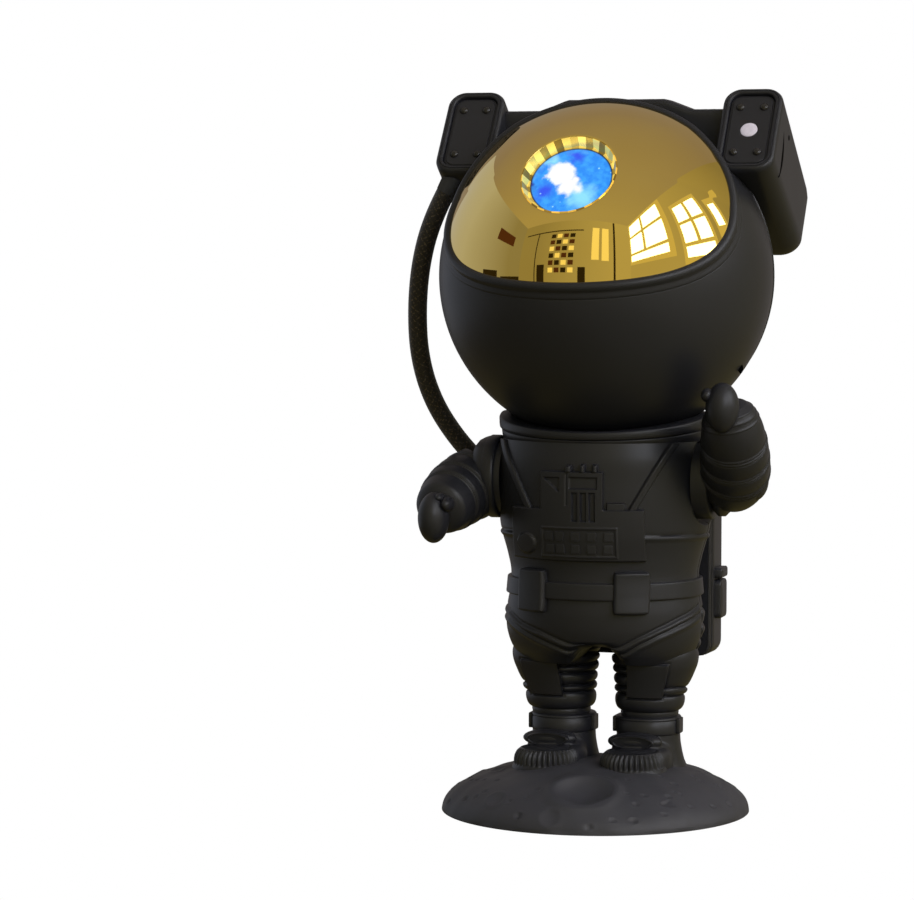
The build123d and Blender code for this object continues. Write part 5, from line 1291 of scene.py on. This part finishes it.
# the round seat of the star window, radius and distance out; the other pod's plate is flat there
WINDOW_SEAT = [(4.2, -0.9), (3.5, -0.9), (3.0, -0.92), (2.8, -1.0), (2.75, -1.3), (2.7, -1.6), (0.0, -1.6)]
for side, side_name in ((-1, "right"), (1, "left")):
    skin = stacked_loops(POD_ROWS)
    centre = np.zeros((1, skin.shape[1], 3))
    centre[..., 2] = -3.0
    housing = mesh_piece(f"pod_{side_name}_housing", [(on_pod(np.concatenate([centre, skin]), side),
                                                       grid_faces(len(skin) + 1, skin.shape[1], True))], black_abs, 50.0)
    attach(housing, "head")
    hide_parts(f"pod_{side_name}")
    plate = stacked_loops(PLATE_ROWS)
    turn = np.arctan2(plate[-1, :, 1], plate[-1, :, 0])
    rings = []
    for radius, out in WINDOW_SEAT:
        radius = radius if side == 1 else radius * 0.9
        out = out if side == 1 else -0.9
        rings.append(np.column_stack([radius * np.cos(turn), radius * np.sin(turn), np.full(len(turn), out)]))
    bottom = np.zeros((1, plate.shape[1], 3))
    bottom[..., 2] = -2.8
    face_grid = np.concatenate([bottom, plate, np.array(rings)])
    face = mesh_piece(f"pod_{side_name}_face_plate", [(on_pod(face_grid, side), grid_faces(*face_grid.shape[:2], True))],
                      black_abs, 40.0)
    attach(face, "head")
    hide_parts(f"pod_face_{side_name}")


# ---- pod side recesses, in painted shade ----
# Two shallow openings in the outer side of the figure's left pod: a narrow crescent and a pin hole, drawn as thin
# near-black patches in painted shade for their unlit insides. Both follow the slope of the pod's side.
steps = np.linspace(-1, 1, 40)
lean = np.column_stack([-8.6 + 1.3 * steps, -3.9 + 8.2 * steps])
bulge = np.column_stack([-1.9 * (1 - steps**2), 0.2 * (1 - steps**2)])
crescent = np.concatenate([lean + 1.35 * bulge, (lean + 0.35 * bulge)[::-1][1:-1]])
hole_turn = np.linspace(0, 2 * np.pi, 24, endpoint=False)
pin_hole = np.column_stack([-14.2 + 0.9 * np.cos(hole_turn), 7.5 + 0.9 * np.sin(hole_turn)])
recess_shade_parts = []
for outline in (crescent, pin_hole):
    middle = outline.mean(0)
    rows = []
    for share, lift in ((0.0, -0.8), (1.0, -0.8), (1.0, 0.04), (0.0, 0.04)):
        flat = middle + share * (outline - middle)
        side_face = 9.6 + 1.3 * (-flat[:, 0] - 2.4) / 48.6
        rows.append(np.column_stack([side_face + lift, flat[:, 1], flat[:, 0]]))
    recess_shade_parts.append((on_pod(np.array(rows), 1), grid_faces(4, len(outline), True)))
recess_shade = mesh_piece("pod_side_recess_shade", recess_shade_parts, painted_shade_black, 40.0)
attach(recess_shade, "head")
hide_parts("pod_left")


# ---- star window ----
# A low dome of frosted acrylic, pressed into the middle of the figure's left pod face. It glows faintly in its own
# grey: painted light.
window_acrylic, window_tree, window_output = finish_called("frosted_acrylic")
window_place = add(window_tree, "ShaderNodeTexCoord")
frost = add(window_tree, "ShaderNodeTexNoise", {"Vector": window_place.outputs["Object"], "Scale": 900.0})
window_tone = add(window_tree, "ShaderNodeMix", {
    6: colour("#8f8b93"), 7: colour("#a8a4ac"), "Factor": frost.outputs["Fac"]}, data_type="RGBA")
# the faint glow in the window's own grey is painted light
window_shader = add(window_tree, "ShaderNodeBsdfPrincipled", {
    "Base Color": window_tone.outputs[2], "Roughness": 0.35, "Emission Color": window_tone.outputs[2],
    "Emission Strength": 0.5})
window_tree.links.new(window_shader.outputs["BSDF"], window_output.inputs["Surface"])
turn = np.linspace(0, 2 * np.pi, 64, endpoint=False)
WINDOW_PROFILE = ((0.0, -2.8), (2.68, -2.8), (2.68, -0.95), (2.5, -0.82), (1.8, -0.68), (0.9, -0.6), (0.0, -0.58))
window_rows = [np.column_stack([r * np.cos(turn), r * np.sin(turn), np.full(64, out)]) for r, out in WINDOW_PROFILE]
window = mesh_piece("star_window_dome", [(on_pod(np.array(window_rows), 1), grid_faces(7, 64, True))],
                    window_acrylic, 50.0)
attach(window, "head")
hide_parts("star_window")


# ---- face plate rivets ----
# Small domed rivet heads in black ABS, four on each pod's face plate. They are smoother than the
# plate, so their crowns are a little brighter.
def hung_domes(name):
    """A low dome on every point, along the point's facing."""
    tree, source, end = tree_with(name, {
        "Radius": "NodeSocketFloat", "Height": "NodeSocketFloat", "Sides": "NodeSocketInt",
        "Finish": "NodeSocketMaterial"})
    half = add(tree, "GeometryNodeMeshUVSphere", {
        "Segments": source.outputs["Sides"], "Rings": 10, "Radius": source.outputs["Radius"]})
    share = add(tree, "ShaderNodeMath", {0: source.outputs["Height"], 1: source.outputs["Radius"]}, operation="DIVIDE")
    flat = add(tree, "ShaderNodeCombineXYZ", {"X": 1.0, "Y": 1.0, "Z": share.outputs[0]})
    dome = add(tree, "GeometryNodeTransform", {"Geometry": half.outputs["Mesh"], "Scale": flat.outputs["Vector"]})
    facing = add(tree, "GeometryNodeInputNamedAttribute", {"Name": "facing"}, data_type="FLOAT_VECTOR")
    way = add(tree, "FunctionNodeAlignRotationToVector", {"Vector": facing.outputs["Attribute"]}, axis="Z")
    placed = add(tree, "GeometryNodeInstanceOnPoints", {
        "Points": source.outputs["Geometry"], "Instance": dome.outputs["Geometry"], "Rotation": way.outputs["Rotation"]})
    real = add(tree, "GeometryNodeRealizeInstances", {"Geometry": placed.outputs["Instances"]})
    shaded = add(tree, "GeometryNodeSetShadeSmooth", {"Geometry": real.outputs["Geometry"]})
    painted = add(tree, "GeometryNodeSetMaterial", {
        "Geometry": shaded.outputs["Geometry"], "Material": source.outputs["Finish"]})
    tree.links.new(painted.outputs["Geometry"], end.inputs["Geometry"])
    return tree


rivet_abs = moulded_abs("glossy_black_abs", "#1c1b1a", 0.22, 0.5, 0.000005)
spots, facings = [], []
for side in (-1, 1):
    for x in (-3.8, 3.8):
        for y in (-9.1, 9.1):
            spots.append(on_pod([(x, y, -1.0)], side)[0])
            facings.append(OUT_OF_POD)
rivets = grown_piece("pod_rivet_heads", points_with_facing("rivet_points", spots, facings), hung_domes("pod_rivet_domes"),
                     {"Radius": 0.00145, "Height": 0.0011, "Sides": 24, "Finish": rivet_abs})
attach(rivets, "head")
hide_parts("pod_rivets")


# ---- crossbar ----
# A flat bar in black ABS over the back of the helmet, raised in its middle and cut to the helmet's
# curve underneath. It joins the pods.
BAR_LINE = [(-37.0, 221.6), (-25.4, 221.6), (-24.0, 221.9), (-17.0, 224.6), (-15.6, 225.0), (15.6, 225.0), (17.0, 224.6),
            (24.0, 221.9), (25.4, 221.6), (37.0, 221.6)]
bar_x = np.unique(np.concatenate([np.linspace(-37, 37, 60), [x for x, _ in BAR_LINE]]))
bar_top = np.interp(bar_x, [x for x, _ in BAR_LINE], [z for _, z in BAR_LINE])
grid = []
for x, top in zip(bar_x, bar_top):
    low = min(head_z + math.sqrt(max(0.0, (HEAD_R - 1.0) ** 2 - x * x - 12.0**2)) - 2.0, top - 3.0)
    loop = rounded_loop(11.0, 2 * (top - low), 1.4, 64)
    grid.append(np.column_stack([np.full(64, x), 29.5 + loop[:, 0], np.maximum(top - (top - low) + loop[:, 1], low)]))
grid = np.array(grid)
end_points = [np.repeat(row.mean(0)[None, None], 64, 1) for row in (grid[0], grid[-1])]
grid = np.concatenate([end_points[0], grid, end_points[1]])
bar = mesh_piece("crossbar_flat", [(grid, grid_faces(*grid.shape[:2], True))], black_abs, 40.0)
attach(bar, "head")
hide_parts("crossbar")


# ---- backpack mouldings ----
# On the plain ABS housing: a raised skin with a groove in front of it, and a pocket and a clip on
# each side. The skin stays clear of the power inlet underneath.
PACK_LOW = 45.6            # the underside of the housing


def pack_ring(y_rows):
    """A band round the housing; each row is y and how proud it stands."""
    outer, inner = [], []
    for y, proud in y_rows:
        loop = rounded_loop(59.2 + 2 * proud, 59.0 + 2 * proud, 4.0 + proud, 200)
        for points, loop_now in ((outer, loop), (inner, rounded_loop(58.4, 58.2, 3.7, 200))):
            z = np.maximum(75.0 + loop_now[:, 1], PACK_LOW)
            points.append(np.column_stack([loop_now[:, 0], np.full(200, y), z]))
    return solid_between(np.array(outer), np.array(inner), True)


def side_block(low, high, x_near, x_far, corner):
    """A rounded block on the housing's side between two (y, z) corners."""
    parts = []
    width, height = high[0] - low[0], high[1] - low[1]
    for side in (-1, 1):
        rows = []
        for grow, x in ((-9.0, x_near), (0.0, x_near), (0.0, x_far - 0.5), (-0.15, x_far - 0.2), (-0.5, x_far),
                        (-9.0, x_far)):
            loop = rounded_loop(max(width + 2 * grow, 0.02), max(height + 2 * grow, 0.02), max(corner + grow, 0.005), 80)
            rows.append(np.column_stack([np.full(80, side * x), (low[0] + high[0]) / 2 + loop[:, 0],
                                         (low[1] + high[1]) / 2 + loop[:, 1]]))
        parts.append((np.array(rows), grid_faces(6, 80, True)))
    return parts


pack_parts = [pack_ring([(32.9, -0.4), (33.0, 0.0), (33.3, 0.3), (34.4, 0.3), (34.7, 0.0), (34.7, -0.4)]),
              pack_ring([(36.0, -0.4), (36.0, 0.2), (36.4, 0.5), (38.0, 0.6), (46.0, 0.8), (48.2, 0.7), (48.5, 0.3),
                         (48.5, -0.4)])]
pack_parts += side_block((38.0, 57.2), (47.8, 69.8), 29.0, 32.3, 1.8)
pack_parts += side_block((37.6, 70.4), (47.2, 73.8), 29.0, 32.7, 1.0)
pack_skin = mesh_piece("backpack_skin", pack_parts, black_abs, 45.0)
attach(pack_skin, "body")


# ---- other pieces as moulded, turned and cut ----
# These keep their plain shapes, in the finishes that such pieces have: what sits inside the body,
# on its back and under its base.
def plain_finish(name, code, roughness, metallic, grain_mm):
    """A finish with slight mottling and a fine surface relief at its own grain size."""
    material, tree, output = finish_called(name)
    place = add(tree, "ShaderNodeTexCoord")
    grain = add(tree, "ShaderNodeTexNoise", {"Vector": place.outputs["Object"], "Scale": 1000.0 / grain_mm, "Detail": 3.0})
    tint = add(tree, "ShaderNodeMix", {6: [c * 0.85 for c in colour(code)[:3]] + [1.0], 7: colour(code),
                                       "Factor": grain.outputs["Fac"]}, data_type="RGBA")
    relief = add(tree, "ShaderNodeBump", {"Height": grain.outputs["Fac"], "Distance": 0.00001, "Strength": 0.5})
    shader = add(tree, "ShaderNodeBsdfPrincipled", {
        "Base Color": tint.outputs[2], "Roughness": roughness, "Metallic": metallic, "Normal": relief.outputs["Normal"]})
    tree.links.new(shader.outputs["BSDF"], output.inputs["Surface"])
    return material


def wear(node, material):
    """Gives a piece that keeps its plain shape its finish."""
    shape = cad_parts[node]
    if not shape.data.materials:
        shape.data.materials.append(material)
    for slot in shape.material_slots:
        slot.link = "OBJECT"
        slot.material = material


# each finish's name, colour, roughness, metallic and grain in mm, and the pieces that have it
FINISHES = (
    ("zinc_plated_steel", "#b9bcc0", 0.35, 1.0, 1.4, "ballast_plate keeper_plate"),
    ("foamed_eva", "#2b2b2c", 0.9, 0.0, 0.6, "base_pad"),
    ("black_zinc_screws", "#2a2a2c", 0.35, 1.0, 1.0, "base_screws hip_screws cover_screws arm_right_screw arm_left_screw"),
    ("green_circuit_board", "#1d5a34", 0.4, 0.0, 2.0, "control_board"),
    ("white_circuit_board", "#e6e6e0", 0.4, 0.0, 2.0, "led_board"),
    ("switch_nylon", "#202022", 0.5, 0.0, 1.0, "tact_switches dc_jack"),
    ("smoked_epoxy", "#17151a", 0.15, 0.0, 3.0, "ir_receiver"),
    ("gland_rubber", "#0f0e0e", 0.85, 0.0, 0.8, "pack_gland pod_gland"),
    ("nickel_plate", "#cfd0ce", 0.2, 1.0, 2.0, "neck_magnet"),
    ("inner_black_abs", "#1b1b1b", 0.6, 0.0, 0.8, "lens_barrel projector_frame led_carrier laser_holder"),
    ("motor_can_steel", "#9fa2a6", 0.3, 1.0, 1.0, "disc_motor"),
    ("cast_aluminium", "#a9acb0", 0.5, 1.0, 0.8, "heat_sink"),
    ("turned_brass", "#b8934a", 0.3, 1.0, 0.6, "laser_module"),
    ("white_acetal", "#e8e6de", 0.45, 0.0, 1.0, "motor_pinion"),
    ("rippled_acrylic", "#4aa0e0", 0.15, 0.0, 4.0, "nebula_disc"),
)
for finish, code, roughness, metallic, grain_mm, nodes in FINISHES:
    # a finish that is there by its name already is kept, as the one for the rubber glands
    material = bpy.data.materials.get(finish) or plain_finish(finish, code, roughness, metallic, grain_mm)
    for node in nodes.split():
        wear(node, material)
for node, material in (("nebula_button", rivet_abs), ("star_button", rivet_abs),
                       ("backpack_housing", black_abs), ("backpack_cover", black_abs)):
    wear(node, material)
